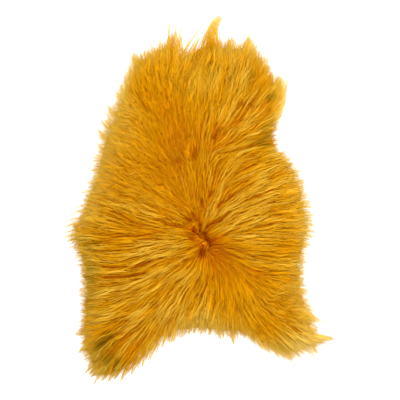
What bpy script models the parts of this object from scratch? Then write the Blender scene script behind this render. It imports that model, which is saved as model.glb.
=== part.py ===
"""A long-wool sheepskin rug lying flat: one pelt, its hide and wool together, as one closed solid.

Frame: metres, +Z up, the rug's flat underside on Z = 0, +Y towards the neck end, +X towards the
right flank, and the origin under the middle of the rug's bounding box.
"""

import math

import bmesh
import bpy
import numpy as np
from mathutils.geometry import delaunay_2d_cdt

# Driving dimensions, in metres.
RUG_WIDTH = 0.700
RUG_LENGTH = 0.950
WOOL_HEIGHT = 0.050
EDGE_THICKNESS = 0.004

# The wool's profile from its thin edge to the middle.
SHOULDER_WIDTH = 0.095
SHOULDER_POWER = 2.3
SWELL_HEIGHT = 0.004
SWELL_WAVE = 0.070

# The whorl: the dimple that all the wool lies away from.
WHORL = (0.016, -0.112)
WHORL_DEPTH = 0.018
WHORL_RADIUS = 0.034

# Long soft ridges of wool running out from the whorl.
RIDGE_COUNT = 34
RIDGE_HEIGHT = 0.0030
RIDGE_WANDER = 2.4
RIDGE_START = 0.140

# The wool's ragged margin: many small points, every so often along the edge.
POINT_SPACING = 0.030
POINT_REACH = 0.0045
TUFT_SHARPNESS = 1.35

# Mesh spacings.
EDGE_STEP = 0.0075
WOOL_STEP = 0.0155
BASE_STEP = 0.060
MILLIMETRE = 0.001

# The wool's mean edge, clockwise from the neck: place, across (mm), along (mm).
EDGE = (
    ("neck notch", -40, 384),
    ("neck, right of the notch", 10, 402),
    ("neck, right", 85, 404),
    ("neck, right corner", 148, 392),
    ("right shoulder", 196, 322),
    ("right shoulder, widest", 225, 272),
    ("right waist, front", 207, 205),
    ("right waist", 201, 138),
    ("right waist, step", 238, 100),
    ("right flank, front", 272, 38),
    ("right flank", 289, -30),
    ("right flank, widest", 292, -88),
    ("right flank, rear", 276, -160),
    ("right hip", 275, -245),
    ("right leg, outer side", 296, -312),
    ("right leg, outer corner", 308, -374),
    ("right leg, end", 266, -407),
    ("right leg, inner corner", 220, -416),
    ("right leg, inner side", 162, -388),
    ("bay between the legs, right", 104, -358),
    ("bay between the legs, middle", 0, -353),
    ("bay between the legs, left", -70, -360),
    ("left leg, inner side", -130, -408),
    ("left leg, end", -196, -462),
    ("left leg, outer corner", -272, -464),
    ("left leg, outer side", -307, -404),
    ("left hip", -317, -340),
    ("left flank, rear", -313, -250),
    ("left flank", -319, -170),
    ("left flank, widest", -334, -100),
    ("left flank, front", -312, -20),
    ("left side", -287, 60),
    ("left waist", -270, 130),
    ("left shoulder", -233, 225),
    ("left shoulder, front", -206, 300),
    ("neck, left corner", -172, 362),
    ("neck, left", -110, 400),
    ("neck, left of the notch", -68, 408),
)

# Tufts that stand out past the edge: place, root across and along (mm), tip across and along (mm),
# width at the root (mm).
TUFTS = (
    ("neck, tall middle tuft", 26, 404, 50, 468, 62),
    ("neck, strands beside it", 2, 400, 6, 420, 64),
    ("neck, small tuft", 76, 404, 76, 422, 26),
    ("neck, right tuft", 126, 398, 130, 425, 36),
    ("right shoulder tuft", 214, 300, 218, 320, 28),
    ("right flank points", 292, -80, 301, -82, 44),
    ("right leg, upper point", 296, -316, 314, -328, 26),
    ("right leg, long point", 308, -366, 350, -367, 28),
    ("right leg, lower point", 300, -390, 310, -408, 32),
    ("right leg, inner point", 226, -415, 238, -426, 30),
    ("bay, right pair", 86, -356, 90, -378, 28),
    ("bay, right single", 56, -355, 56, -374, 22),
    ("bay, left point", -78, -364, -80, -382, 24),
    ("left leg, inner point", -126, -404, -129, -420, 26),
    ("left leg, end point", -206, -464, -208, -475, 32),
    ("left leg, middle point", -246, -466, -250, -475, 30),
    ("left leg, corner point", -288, -456, -303, -465, 36),
    ("left leg, outer point", -307, -400, -318, -403, 28),
    ("left hip point", -318, -348, -328, -353, 32),
    ("left flank, lower points", -334, -108, -350, -111, 34),
    ("left flank, upper points", -328, -68, -344, -76, 38),
    ("left waist point", -256, 166, -268, 182, 26),
    ("left shoulder, rear point", -246, 194, -258, 209, 26),
    ("left shoulder point", -233, 225, -244, 244, 28),
    ("neck, left corner point", -174, 360, -176, 380, 28),
    ("neck, left tuft", -70, 408, -68, 438, 40),
)


def clear_scene():
    """Remove every object from the scene."""
    for thing in list(bpy.data.objects):
        bpy.data.objects.remove(thing, do_unlink=True)


def closed_spline(stations, step):
    """Points every step or so along a smooth closed curve through the stations."""
    count = len(stations)
    points = []
    for index in range(count):
        before, start, end, after = (stations[(index + shift) % count] for shift in (-1, 0, 1, 2))
        parts = max(2, round(float(np.linalg.norm(end - start)) / step))
        for part in range(parts):
            t = part / parts
            points.append(0.5 * (
                2.0 * start
                + (end - before) * t
                + (2.0 * before - 5.0 * start + 4.0 * end - after) * t ** 2
                + (3.0 * start - before - 3.0 * end + after) * t ** 3
            ))
    return np.array(points)


def distance_round(points):
    """Each point's distance along the closed curve from its first point, and the whole length."""
    runs = np.linalg.norm(np.roll(points, -1, axis=0) - points, axis=1)
    return np.concatenate(([0.0], np.cumsum(runs)[:-1])), float(runs.sum())


def with_tufts(points):
    """The edge with each tuft drawn out of it, from the tuft's root towards its tip."""
    places, length = distance_round(points)
    drawn = points.copy()
    for _place, root_x, root_y, tip_x, tip_y, width in TUFTS:
        root = np.array((root_x, root_y)) * MILLIMETRE
        pull = np.array((tip_x, tip_y)) * MILLIMETRE - root
        nearest = int(np.argmin(np.linalg.norm(points - root, axis=1)))
        away = np.abs(places - places[nearest])
        away = np.minimum(away, length - away)
        share = np.clip(1.0 - away / (0.5 * width * MILLIMETRE), 0.0, 1.0)
        drawn += pull * (share ** TUFT_SHARPNESS)[:, None]
    return drawn


def with_points(points):
    """The edge with its many small points, uneven in spacing and in reach."""
    places, length = distance_round(points)
    turns = round(length / POINT_SPACING)
    phase = 2.0 * math.pi * turns * places / length
    wave = 0.6 * np.sin(phase + 1.3 * np.sin(phase / 7.0)) + 0.4 * np.sin(1.618 * phase + 2.0)
    runs = np.roll(points, -1, axis=0) - np.roll(points, 1, axis=0)
    outward = np.stack((-runs[:, 1], runs[:, 0]), axis=1)
    outward /= np.linalg.norm(outward, axis=1)[:, None]
    return points + outward * (POINT_REACH * wave)[:, None]


def fitted(points):
    """The edge scaled to the rug's width and length, with its box centred on the origin."""
    low = points.min(axis=0)
    high = points.max(axis=0)
    return (points - 0.5 * (low + high)) * np.array((RUG_WIDTH, RUG_LENGTH)) / (high - low)


def rug_edge():
    """The rug's whole outline, clockwise."""
    stations = np.array([(across, along) for _place, across, along in EDGE]) * MILLIMETRE
    return fitted(with_points(with_tufts(closed_spline(stations, EDGE_STEP))))


def distance_inside(points, edge):
    """Each point's distance from the edge: positive inside it, negative outside."""
    ends = np.roll(edge, -1, axis=0)
    runs = ends - edge
    offsets = points[:, None, :] - edge[None, :, :]
    share = np.clip((offsets * runs).sum(axis=2) / (runs ** 2).sum(axis=1), 0.0, 1.0)
    gaps = np.linalg.norm(offsets - share[:, :, None] * runs, axis=2).min(axis=1)
    above = points[:, None, 1] < edge[None, :, 1]
    crosses = above != (points[:, None, 1] < ends[None, :, 1])
    slope = np.where(runs[:, 1] == 0.0, 1.0, runs[:, 1])
    meets = edge[None, :, 0] + offsets[:, :, 1] * (runs[:, 0] / slope)
    inside = (crosses & (points[:, None, 0] < meets)).sum(axis=1) % 2 == 1
    return np.where(inside, gaps, -gaps)


def filled(edge, step):
    """Flat triangles over the whole outline, with points about a step apart inside it.

    Returns the points, the outline's own first, and the triangles.
    """
    low = edge.min(axis=0)
    high = edge.max(axis=0)
    row_step = step * math.sqrt(0.75)
    grid = []
    for row, y in enumerate(np.arange(low[1], high[1], row_step)):
        start = low[0] + (0.5 * step if row % 2 else 0.0)
        grid += [(x, y) for x in np.arange(start, high[0], step)]
    grid = np.array(grid)
    inner = grid[distance_inside(grid, edge) > 0.55 * step]
    points = np.concatenate((edge, inner))
    count = len(edge)
    border = [(index, (index + 1) % count) for index in range(count)]
    result = delaunay_2d_cdt([tuple(point) for point in points], border, [], 1, 1e-7)
    if len(result[0]) != len(points):
        raise ValueError("the outline crosses itself")
    return np.array([tuple(point) for point in result[0]]), result[2], count


def wool_height(points, edge):
    """The wool's height over each point: a low crowned mound with a dimple at the whorl."""
    inside = np.maximum(distance_inside(points, edge), 0.0)
    rise = 1.0 - (1.0 - np.minimum(inside / SHOULDER_WIDTH, 1.0)) ** SHOULDER_POWER
    across, along = (points - np.array(WHORL)).T
    reach = np.hypot(across, along)
    heading = np.arctan2(along, across)
    swell = SWELL_HEIGHT * np.sin(across / SWELL_WAVE + 0.7) * np.sin(along / SWELL_WAVE - 0.4)
    ridge_turn = RIDGE_COUNT * heading + RIDGE_WANDER * np.sin(3.0 * heading + reach / SWELL_WAVE)
    ridge = RIDGE_HEIGHT * np.sin(ridge_turn) * np.minimum(reach / RIDGE_START, 1.0)
    dimple = WHORL_DEPTH * np.exp(-(reach / WHORL_RADIUS) ** 2)
    full = WOOL_HEIGHT - EDGE_THICKNESS - SWELL_HEIGHT - RIDGE_HEIGHT
    return EDGE_THICKNESS + rise * (full + swell + ridge - dimple)


def build_pelt(name, material):
    """Make the pelt: a flat underside, a thin upright edge and the wool's crowned top."""
    edge = rug_edge()
    top_points, top_faces, count = filled(edge, WOOL_STEP)
    base_points, base_faces, _count = filled(edge, BASE_STEP)
    heights = wool_height(top_points, edge)
    heights[:count] = EDGE_THICKNESS
    pelt = bmesh.new()
    top = [pelt.verts.new((x, y, z)) for (x, y), z in zip(top_points, heights)]
    base = [pelt.verts.new((x, y, 0.0)) for x, y in base_points]
    for face in top_faces:
        pelt.faces.new([top[index] for index in face])
    for face in base_faces:
        pelt.faces.new([base[index] for index in reversed(face)])
    for index in range(count):
        after = (index + 1) % count
        pelt.faces.new((base[index], top[index], top[after], base[after]))
    bmesh.ops.recalc_face_normals(pelt, faces=pelt.faces[:])
    mesh = bpy.data.meshes.new(name)
    pelt.to_mesh(mesh)
    pelt.free()
    mesh.materials.append(material)
    mesh.shade_smooth()
    mesh.set_sharp_from_angle(angle=math.radians(50.0))
    thing = bpy.data.objects.new(name, mesh)
    bpy.context.scene.collection.objects.link(thing)
    return thing


def wool_material():
    """Mustard-dyed wool: matt, with no metal in it."""
    material = bpy.data.materials.new("wool")
    material.use_nodes = True
    shader = material.node_tree.nodes["Principled BSDF"]
    shader.inputs["Base Color"].default_value = (0.630, 0.275, 0.010, 1.0)
    shader.inputs["Roughness"].default_value = 0.85
    shader.inputs["Metallic"].default_value = 0.0
    return material


clear_scene()
build_pelt("sheepskin", wool_material())
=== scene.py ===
"""A mustard-dyed long-wool sheepskin rug, laid flat with its wool up.

The pelt is built from the skin outwards: the tanned hide, the dense underwool that fills the pile,
the long locks that lie over it away from the whorl, and the tufts and loose fibres at its edge.
Lengths are in metres unless a name ends in _mm, and headings are in degrees from +X towards +Y.
"""

import logging
import math
from dataclasses import dataclass, field
from enum import Enum

import bmesh
import bpy
import numpy as np
from mathutils.bvhtree import BVHTree
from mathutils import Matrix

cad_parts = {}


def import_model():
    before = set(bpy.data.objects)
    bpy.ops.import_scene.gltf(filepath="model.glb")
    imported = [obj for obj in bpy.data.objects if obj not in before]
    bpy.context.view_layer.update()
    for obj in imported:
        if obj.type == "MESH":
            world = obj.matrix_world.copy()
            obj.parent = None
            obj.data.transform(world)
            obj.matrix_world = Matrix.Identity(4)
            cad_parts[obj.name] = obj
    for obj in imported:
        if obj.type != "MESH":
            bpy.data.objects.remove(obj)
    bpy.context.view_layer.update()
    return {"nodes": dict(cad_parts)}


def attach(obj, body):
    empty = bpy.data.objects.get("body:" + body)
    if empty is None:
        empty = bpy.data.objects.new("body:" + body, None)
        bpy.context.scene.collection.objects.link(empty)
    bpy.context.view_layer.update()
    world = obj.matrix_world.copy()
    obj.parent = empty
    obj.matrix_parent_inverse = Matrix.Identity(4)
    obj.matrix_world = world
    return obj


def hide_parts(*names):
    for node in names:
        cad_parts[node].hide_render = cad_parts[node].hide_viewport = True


Array = np.ndarray
Pair = tuple[float, float]
Triple = tuple[float, float, float]
Rows = tuple[tuple[float, ...], ...]
Tree = bpy.types.ShaderNodeTree
Socket = bpy.types.NodeSocket

NODE = "sheepskin"
BODY = "root"
MM = 0.001
TURN = 2.0 * math.pi
PHASES = (0.0, 6.28)
CREASE = math.radians(50.0)
PALETTE_MAP = "OFBake"
# The palette's colours: its deep and olive ones also serve as painted shade, its pale one partly as
# painted light.
DYE_AND_LIGHT_COLOURS = ("Root", "Low", "Middle", "Tip", "Olive", "Pale")
LOG = logging.getLogger("sheepskin_rug")


class Region(Enum):
    """The parts of the pelt, each a piece of long wool of its own."""

    NECK = "neck"
    LEFT = "left_flank"
    RIGHT = "right_flank"
    RUMP = "rump"


# Where the wool is crimped tighter than elsewhere: places (across and along, mm), how far each reaches
# (mm), how far the wool turns to each side (degrees) and how long each wave is (mm).
CRIMPS = (
    (218, -272, 45, 32, 22), (206, -240, 32, 26, 16), (150, -235, 40, 14, 24),
    (-130, 130, 90, 15, 27), (-60, 60, 50, 14, 24), (-180, 40, 60, 12, 26), (200, -130, 70, 12, 26),
    (110, 300, 60, 9, 44), (-20, 330, 50, 9, 40), (-110, 320, 50, 7, 40), (120, 120, 80, 8, 48),
    (150, -20, 70, 7, 44), (110, -105, 45, 9, 30), (240, -80, 50, 9, 28), (-40, -240, 70, 7, 40),
)

# The lie of the wool: for each part of the pelt, places (across and along, mm) and the heading that
# the wool's tips point in there (degrees).
LIE = {
    "neck": (
        (-75, 395, 90), (-110, 345, 97), (-165, 345, 106), (-45, 325, 68), (-22, 345, 62),
        (0, 365, 70), (30, 380, 84), (75, 380, 88), (100, 345, 78), (130, 335, 70), (150, 385, 68),
    ),
    "whorl": (
        (-25, -70, 160), (-35, -90, 168), (-30, -110, 178), (-15, -100, 165), (-6, -86, 125),
        (-8, -68, 112), (8, -76, 84), (14, -60, 76), (24, -30, 84), (30, 0, 66), (25, -68, 40),
        (40, -70, 30), (50, -88, 24), (36, -100, 14), (50, -108, 6), (50, -125, 0), (50, -140, -14),
        (36, -138, -24), (26, -140, -55), (14, -150, -80), (5, -150, -95), (-10, -150, -130),
        (-25, -145, -142), (-40, -155, -150), (-30, -130, -160), (-50, -130, -162),
        (-50, -112, 180), (-60, -90, 172), (-70, -110, 178), (-12, -45, 108), (-20, -20, 112),
        (-30, 20, 105), (-50, -45, 155), (-40, -20, 138),
    ),
    "right shoulder": (
        (165, 300, 55), (195, 330, 72), (212, 300, 72), (200, 250, 52), (125, 240, 54),
        (185, 200, 36),
    ),
    "right of the spine": (
        (25, 200, 76), (60, 190, 58), (100, 150, 34), (50, 120, 28), (150, 160, 25),
        (130, 140, 20), (190, 140, 10), (150, 100, 24), (220, 105, 8), (200, 60, 22),
        (100, 60, 34), (100, 20, 42), (60, 0, 52), (230, 20, 12), (150, -10, 24),
        (200, -20, 12), (100, -30, 28),
    ),
    "right flank": (
        (150, -60, 16), (250, -60, 2), (200, -90, 5), (100, -90, 12), (285, -80, -10),
        (100, -130, -8), (200, -150, -5), (150, -180, -10),
        (60, -160, -35), (200, -200, -5), (265, -200, -10),
    ),
    "right hip": (
        (110, -200, -55), (160, -218, -35), (190, -238, -18), (245, -250, -10), (200, -280, -34),
        (235, -283, 5), (255, -308, -15), (290, -315, -35),
    ),
    "right leg": (
        (120, -250, -70), (130, -300, -58), (150, -350, -60), (200, -345, -46), (245, -335, -36),
        (180, -385, -58), (225, -405, -49), (255, -385, -42), (300, -395, -45), (285, -355, -25),
        (310, -364, -6),
    ),
    "rump": (
        (30, -170, -72), (30, -200, -92), (60, -210, -84), (90, -260, -85), (100, -325, -85),
        (50, -260, -98), (50, -310, -98), (0, -220, -117), (0, -280, -114), (15, -335, -100),
        (-30, -330, -102), (-30, -200, -138), (-60, -280, -122), (-80, -340, -106),
    ),
    "left leg": (
        (-110, -365, -116), (-125, -400, -106), (-150, -425, -122), (-180, -400, -127),
        (-220, -440, -117), (-250, -400, -134), (-292, -450, -146), (-285, -395, -146),
        (-220, -340, -149), (-150, -280, -141), (-200, -270, -155),
    ),
    "left flank": (
        (-250, -300, 192), (-300, -330, 184), (-100, -200, 221), (-150, -170, 203),
        (-165, -220, 204), (-210, -185, 181), (-250, -245, 190), (-300, -230, 181),
        (-250, -180, 176), (-100, -140, 198), (-50, -130, 199), (-200, -130, 184),
        (-300, -150, 180), (-330, -110, 190), (-325, -78, 194), (-250, -90, 177),
        (-150, -95, 179), (-60, -62, 168), (-100, -45, 163), (-200, -45, 156), (-260, -20, 166),
    ),
    "left of the spine": (
        (-60, -25, 158), (-60, 0, 135), (0, -40, 95), (-40, 40, 106), (-12, 60, 99),
        (10, 40, 88), (35, 60, 78), (20, 120, 80),
        (-10, 150, 88), (-60, 60, 122), (-62, 100, 128), (-100, 60, 130), (-100, 0, 152),
        (-150, 25, 162), (-140, 80, 150), (-200, 65, 150), (-195, 110, 148), (-240, 130, 156),
        (-275, 100, 175), (-285, 40, 180),
    ),
    "left shoulder": (
        (-200, 160, 168), (-200, 215, 165), (-248, 185, 138), (-237, 230, 128), (-222, 272, 108),
        (-192, 305, 102), (-150, 255, 122), (-128, 205, 113), (-100, 210, 113), (-60, 250, 93),
        (-60, 180, 100), (0, 250, 88), (20, 300, 86), (-110, 290, 104),
    ),
}


def unit(vectors: Array) -> Array:
    """Scale vectors to length one.

    Args:
        vectors: Any array whose last axis holds the components.

    Returns:
        The same array with each vector one long.
    """
    lengths = np.linalg.norm(vectors, axis=-1, keepdims=True)
    return vectors / np.maximum(lengths, 1e-9)


def ease(values: Array, low: float, high: float) -> Array:
    """Rise smoothly from 0 at low to 1 at high.

    Args:
        values: What to map.
        low: The value that gives 0.
        high: The value that gives 1.

    Returns:
        The eased share, from 0 to 1.
    """
    share = np.clip((values - low) / (high - low), 0.0, 1.0)
    return share * share * (3.0 - 2.0 * share)


def patch(places: Array, across: float, along: float, reach: float) -> Array:
    """Measure how strongly a soft round patch covers some places.

    Args:
        places: Places, with X and Y first on the last axis.
        across: The patch's middle in X, in mm.
        along: Its middle in Y, in mm.
        reach: How far it reaches, in mm.

    Returns:
        1 in its middle, falling to 0 around it.
    """
    offset = places[..., :2] - np.array((across, along)) * MM
    return np.exp(-0.5 * (offset ** 2).sum(axis=-1) / (reach * MM) ** 2)


def spread(places: Array, rows: Rows, column: int = 3) -> Array:
    """Add up soft round patches at some places.

    Args:
        places: Places, with X and Y first on the last axis.
        rows: The patches, each across, along and reach in mm, then what it adds in its middle.
        column: Which of each row's numbers is added.

    Returns:
        The sum at each place.
    """
    total = np.zeros(places.shape[:-1])
    for row in rows:
        total += row[column] * patch(places, *row[:3])
    return total


def flanked(lines: Array) -> tuple[Array, Array]:
    """Find which way lines on the floor run, and which way is to their left.

    Args:
        lines: Places along each line, as lines by places by two.

    Returns:
        Unit vectors along the lines and to their left, one of each for every place.
    """
    along = unit(np.gradient(lines, axis=1))
    return along, np.stack((-along[..., 1], along[..., 0]), axis=-1)


def raised(flat: Array, height: Array) -> Array:
    """Add each place's height to its X and Y."""
    return np.concatenate((flat, height[..., None]), axis=-1)


def scattered(
    low: Array, high: Array, spacing: float, rng: np.random.Generator
) -> Array:
    """Scatter places evenly over a box, but not in rows.

    Args:
        low: The box's low corner.
        high: Its high corner.
        spacing: How far apart the places are.
        rng: The source of chance.

    Returns:
        The places, one row each.
    """
    places = []
    for row, y in enumerate(np.arange(low[1], high[1], spacing * math.sqrt(0.75))):
        xs = np.arange(low[0], high[0], spacing) + (0.5 * spacing if row % 2 else 0.0)
        places.append(np.column_stack((xs, np.full(len(xs), y))))
    places = np.concatenate(places)
    return places + rng.uniform(-0.48, 0.48, places.shape) * spacing


@dataclass(frozen=True)
class Grid:
    """Values on a square grid over the floor, read smoothly anywhere between its points."""

    low: Pair
    step: float
    values: Array

    def at(self, points: Array) -> Array:
        """Read the grid at some places.

        Args:
            points: Places, with X and Y first on the last axis.

        Returns:
            The values there, with the grid's channels on the last axis if it has them.
        """
        rows, columns = self.values.shape[:2]
        column = np.clip((points[..., 0] - self.low[0]) / self.step, 0.0, columns - 1.001)
        row = np.clip((points[..., 1] - self.low[1]) / self.step, 0.0, rows - 1.001)
        left = column.astype(int)
        below = row.astype(int)
        right_share = column - left
        above_share = row - below
        if self.values.ndim == 3:
            right_share = right_share[..., None]
            above_share = above_share[..., None]
        lower = self.values[below, left] * (1.0 - right_share)
        lower = lower + self.values[below, left + 1] * right_share
        upper = self.values[below + 1, left] * (1.0 - right_share)
        upper = upper + self.values[below + 1, left + 1] * right_share
        return lower * (1.0 - above_share) + upper * above_share


@dataclass
class Pelt:
    """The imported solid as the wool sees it: its outline, its depth inside the edge and its top."""

    node: bpy.types.Object
    margin: float = 0.040
    step: float = 0.004
    edge_height: float = 0.004
    outline: Array = field(init=False)
    depth: Grid = field(init=False)
    top: Grid = field(init=False)

    def __post_init__(self) -> None:
        """Read the outline, then the depth and top grids, from the node's mesh."""
        self.outline = self._read_outline()
        corner, places = self.lattice(self.step)
        self.depth = Grid(corner, self.step, self._depths(places))
        self.top = Grid(corner, self.step, self._tops(places))

    def box(self) -> tuple[Array, Array]:
        """Return the low and the high corner of the outline."""
        return self.outline.min(axis=0), self.outline.max(axis=0)

    def lattice(self, step: float) -> tuple[Pair, Array]:
        """Lay a square lattice over the pelt and a little past its edge.

        Args:
            step: How far apart its places are.

        Returns:
            Its low corner, and its places as rows by columns by two.
        """
        low, high = self.box()
        low = low - self.margin
        high = high + self.margin
        xs = np.arange(low[0], high[0], step)
        ys = np.arange(low[1], high[1], step)
        return (float(low[0]), float(low[1])), np.stack(np.meshgrid(xs, ys), axis=-1)

    def _read_outline(self) -> Array:
        """Follow the border of the flat underside, with its points matched to the nearest micrometre.

        Returns:
            The outline's points in order, in metres.
        """
        mesh = self.node.data
        downward = -0.9
        runs: set[tuple[tuple[int, int], tuple[int, int]]] = set()
        for face in mesh.polygons:
            if face.normal.z > downward:
                continue
            keys = [
                tuple(round(value * 1e6) for value in mesh.vertices[index].co.xy)
                for index in face.vertices
            ]
            runs.update(zip(keys, keys[1:] + keys[:1]))
        border = {start: end for start, end in runs if (end, start) not in runs}
        first = min(border)
        loop = [first]
        while border[loop[-1]] != first:
            loop.append(border[loop[-1]])
        return np.array(loop, dtype=float) * 1e-6

    def _depths(self, places: Array, at_once: int = 4000) -> Array:
        """Measure how far inside the outline places are.

        Args:
            places: A grid of places.
            at_once: How many are measured together, to keep the memory small.

        Returns:
            Metres inside the outline, negative outside it.
        """
        starts = self.outline
        ends = np.roll(starts, -1, axis=0)
        runs = ends - starts
        flat = places.reshape(-1, 2)
        depths = np.empty(len(flat))
        for begin in range(0, len(flat), at_once):
            block = flat[begin:begin + at_once]
            offsets = block[:, None, :] - starts[None, :, :]
            share = np.clip((offsets * runs).sum(axis=2) / (runs ** 2).sum(axis=1), 0.0, 1.0)
            gaps = np.linalg.norm(offsets - share[:, :, None] * runs, axis=2).min(axis=1)
            above = block[:, None, 1] < starts[None, :, 1]
            crosses = above != (block[:, None, 1] < ends[None, :, 1])
            rise = np.where(runs[:, 1] == 0.0, 1.0, runs[:, 1])
            meets = starts[None, :, 0] + offsets[:, :, 1] * (runs[:, 0] / rise)
            inside = (crosses & (block[:, None, 0] < meets)).sum(axis=1) % 2 == 1
            depths[begin:begin + at_once] = np.where(inside, gaps, -gaps)
        return depths.reshape(places.shape[:2])

    def _tops(self, places: Array) -> Array:
        """Measure the solid's top over places.

        Args:
            places: A grid of places.

        Returns:
            Heights in metres, and the edge's own height outside the outline.
        """
        mesh = self.node.data
        tree = BVHTree.FromPolygons(
            [vertex.co for vertex in mesh.vertices],
            [tuple(face.vertices) for face in mesh.polygons],
        )
        flat = places.reshape(-1, 2)
        heights = np.full(len(flat), self.edge_height)
        for index, (x, y) in enumerate(flat):
            hit = tree.ray_cast((x, y, 1.0), (0.0, 0.0, -1.0))[0]
            if hit is not None:
                heights[index] = hit.z
        return heights.reshape(places.shape[:2])


@dataclass
class WoolLie:
    """The direction that the wool lies in, everywhere on the pelt.

    still_reach says where the waves begin and where they are full, in metres from the whorl.
    """

    pelt: Pelt
    whorl: Pair = (0.008, -0.104)
    whorl_ends: tuple[Pair, ...] = ((-0.014, -0.066), (0.017, -0.122))
    blur: float = 0.014
    step: float = 0.004
    wave_length: float = 0.046
    wave_turn: float = 0.07
    drift_step: float = 0.070
    drift_cells: tuple[int, int] = (17, 14)
    drift_span: float = 2.2 * math.pi
    still_reach: Pair = (0.010, 0.060)
    seed: int = 3
    grid: Grid = field(init=False)

    def __post_init__(self) -> None:
        """Spread the listed headings over a grid, as turns away from straight out of the whorl."""
        corner, places = self.pelt.lattice(self.step)
        guides = np.array([row for rows in LIE.values() for row in rows], dtype=float)
        spots = guides[:, :2] * MM
        turns = np.radians(guides[:, 2]) - self._outward(spots)
        turns = np.arctan2(np.sin(turns), np.cos(turns))
        total = np.zeros(places.shape[:2])
        weight = np.full(places.shape[:2], 1e-9)
        for spot, turn in zip(spots, turns):
            near = 1.0 / (((places - spot) ** 2).sum(axis=-1) + self.blur ** 2) ** 2
            total += near * turn
            weight += near
        heading = self._outward(places) + total / weight + self._waves(places)
        ways = np.stack((np.cos(heading), np.sin(heading)), axis=-1)
        self.grid = Grid(corner, self.step, ways)

    def from_whorl(self, places: Array) -> Array:
        """Return how far places are from the whorl's middle, as offsets in X and Y."""
        return places - np.array(self.whorl)

    def _waves(self, places: Array) -> Array:
        """Work out the wool's gentle waves and its tighter crimps.

        Args:
            places: The places to wave at.

        Returns:
            How far the heading swings to the left at each place, in radians.
        """
        away = np.linalg.norm(self.from_whorl(places), axis=-1)
        drifts = np.random.default_rng(self.seed).uniform(0.0, self.drift_span, self.drift_cells)
        drift = Grid(tuple(places[0, 0]), self.drift_step, drifts).at(places)
        swing = self.wave_turn * np.sin(TURN * away / self.wave_length + drift)
        for across, along, reach, turn, length in CRIMPS:
            phase = TURN * away / (length * MM) + 2.0 * drift
            swing = swing + math.radians(turn) * patch(places, across, along, reach) * np.sin(phase)
        return swing * ease(away, *self.still_reach)

    def _outward(self, places: Array) -> Array:
        """Find the heading straight away from the whorl's parting.

        Args:
            places: The places.

        Returns:
            The heading at each place, in radians.
        """
        start, end = np.array(self.whorl_ends)
        run = end - start
        share = np.clip(((places - start) @ run) / (run @ run), 0.0, 1.0)
        away = places - start - share[..., None] * run
        return np.arctan2(away[..., 1], away[..., 0])

    def at(self, points: Array) -> Array:
        """Return unit vectors that the wool lies along at the points."""
        return unit(self.grid.at(points))

    def follow(self, starts: Array, lengths: Array, steps: int) -> Array:
        """Walk along the lie of the wool.

        Args:
            starts: Where each walk begins, one row each.
            lengths: How far each walk goes, in metres.
            steps: How many equal steps it is made of.

        Returns:
            The places passed, as walks by steps + 1 by two.
        """
        places = [starts]
        stride = (lengths / steps)[:, None]
        for _step in range(steps):
            here = places[-1]
            middle = here + 0.5 * stride * self.at(here)
            places.append(here + stride * self.at(middle))
        return np.stack(places, axis=1)


@dataclass
class Combing:
    """The grain of the combed wool, drawn out along its lie into broad bands and fine lines.

    band_grain and line_grain hold the size of each grain across the wool and how far it is drawn out,
    in metres.
    """

    pelt: Pelt
    lie: WoolLie
    step: float = 0.0016
    reach: int = 14
    band_grain: Pair = (0.0095, 0.120)
    line_grain: Pair = (0.0023, 0.110)
    seeds: tuple[int, int] = (11, 12)
    bands: Grid = field(init=False)
    lines: Grid = field(init=False)

    def __post_init__(self) -> None:
        """Draw out both grains."""
        self.bands = self._drawn_out(*self.band_grain, self.seeds[0])
        self.lines = self._drawn_out(*self.line_grain, self.seeds[1])

    def _drawn_out(self, grain: float, length: float, seed: int) -> Grid:
        """Draw random grain out along the lie.

        Args:
            grain: The size of the grain across the wool, in metres.
            length: How far it is drawn out.
            seed: What its chance starts from.

        Returns:
            Streaks with a mean of 0 and a spread of 1.
        """
        corner, start = self.pelt.lattice(self.step)
        size = tuple(math.ceil(cells * self.step / grain) + 2 for cells in start.shape[:2])
        dots = Grid(corner, grain, np.random.default_rng(seed).standard_normal(size))
        total = dots.at(start)
        stride = 0.5 * length / self.reach
        for way in (-1.0, 1.0):
            here = start.copy()
            for count in range(1, self.reach + 1):
                here = here + way * stride * self.lie.at(here)
                total += dots.at(here) * math.cos(0.5 * math.pi * count / (self.reach + 1)) ** 2
        total -= total.mean()
        return Grid(corner, self.step, total / total.std())


@dataclass(frozen=True)
class WoolFinish:
    """Dyed wool: deep at the root, golden along its length and pale at the tip; its deep and olive
    colours also serve as painted shade, its pale colour partly as painted light.
    """

    name: str
    root: Triple = (0.330, 0.038, 0.0001)
    low: Triple = (0.510, 0.140, 0.0002)
    middle: Triple = (0.645, 0.286, 0.0003)
    tip: Triple = (0.752, 0.462, 0.042)
    olive: Triple = (0.180, 0.120, 0.004)
    pale: Triple = (0.900, 0.625, 0.150)
    roughness: float = 0.62
    gloss: float = 0.015
    fleck: float = 0.08
    streak_height: float = 0.0005


@dataclass(frozen=True)
class HideFinish:
    """Suede side of the tanned hide, dyed through with the wool."""

    name: str = "hide_suede"
    high: Triple = (0.560, 0.330, 0.110)
    deep: Triple = (0.400, 0.205, 0.050)
    roughness: float = 0.92
    mottle: float = 14.0
    mottle_span: Pair = (0.30, 0.70)
    nap: float = 420.0
    nap_strength: float = 0.35
    nap_height: float = 0.0006


def new_material(name: str) -> tuple[bpy.types.Material, Tree, bpy.types.Node]:
    """Make a material.

    Args:
        name: Its name.

    Returns:
        The material, its node tree and its surface shader.
    """
    material = bpy.data.materials.new(name)
    material.use_nodes = True
    tree = material.node_tree
    return material, tree, tree.nodes["Principled BSDF"]


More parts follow.
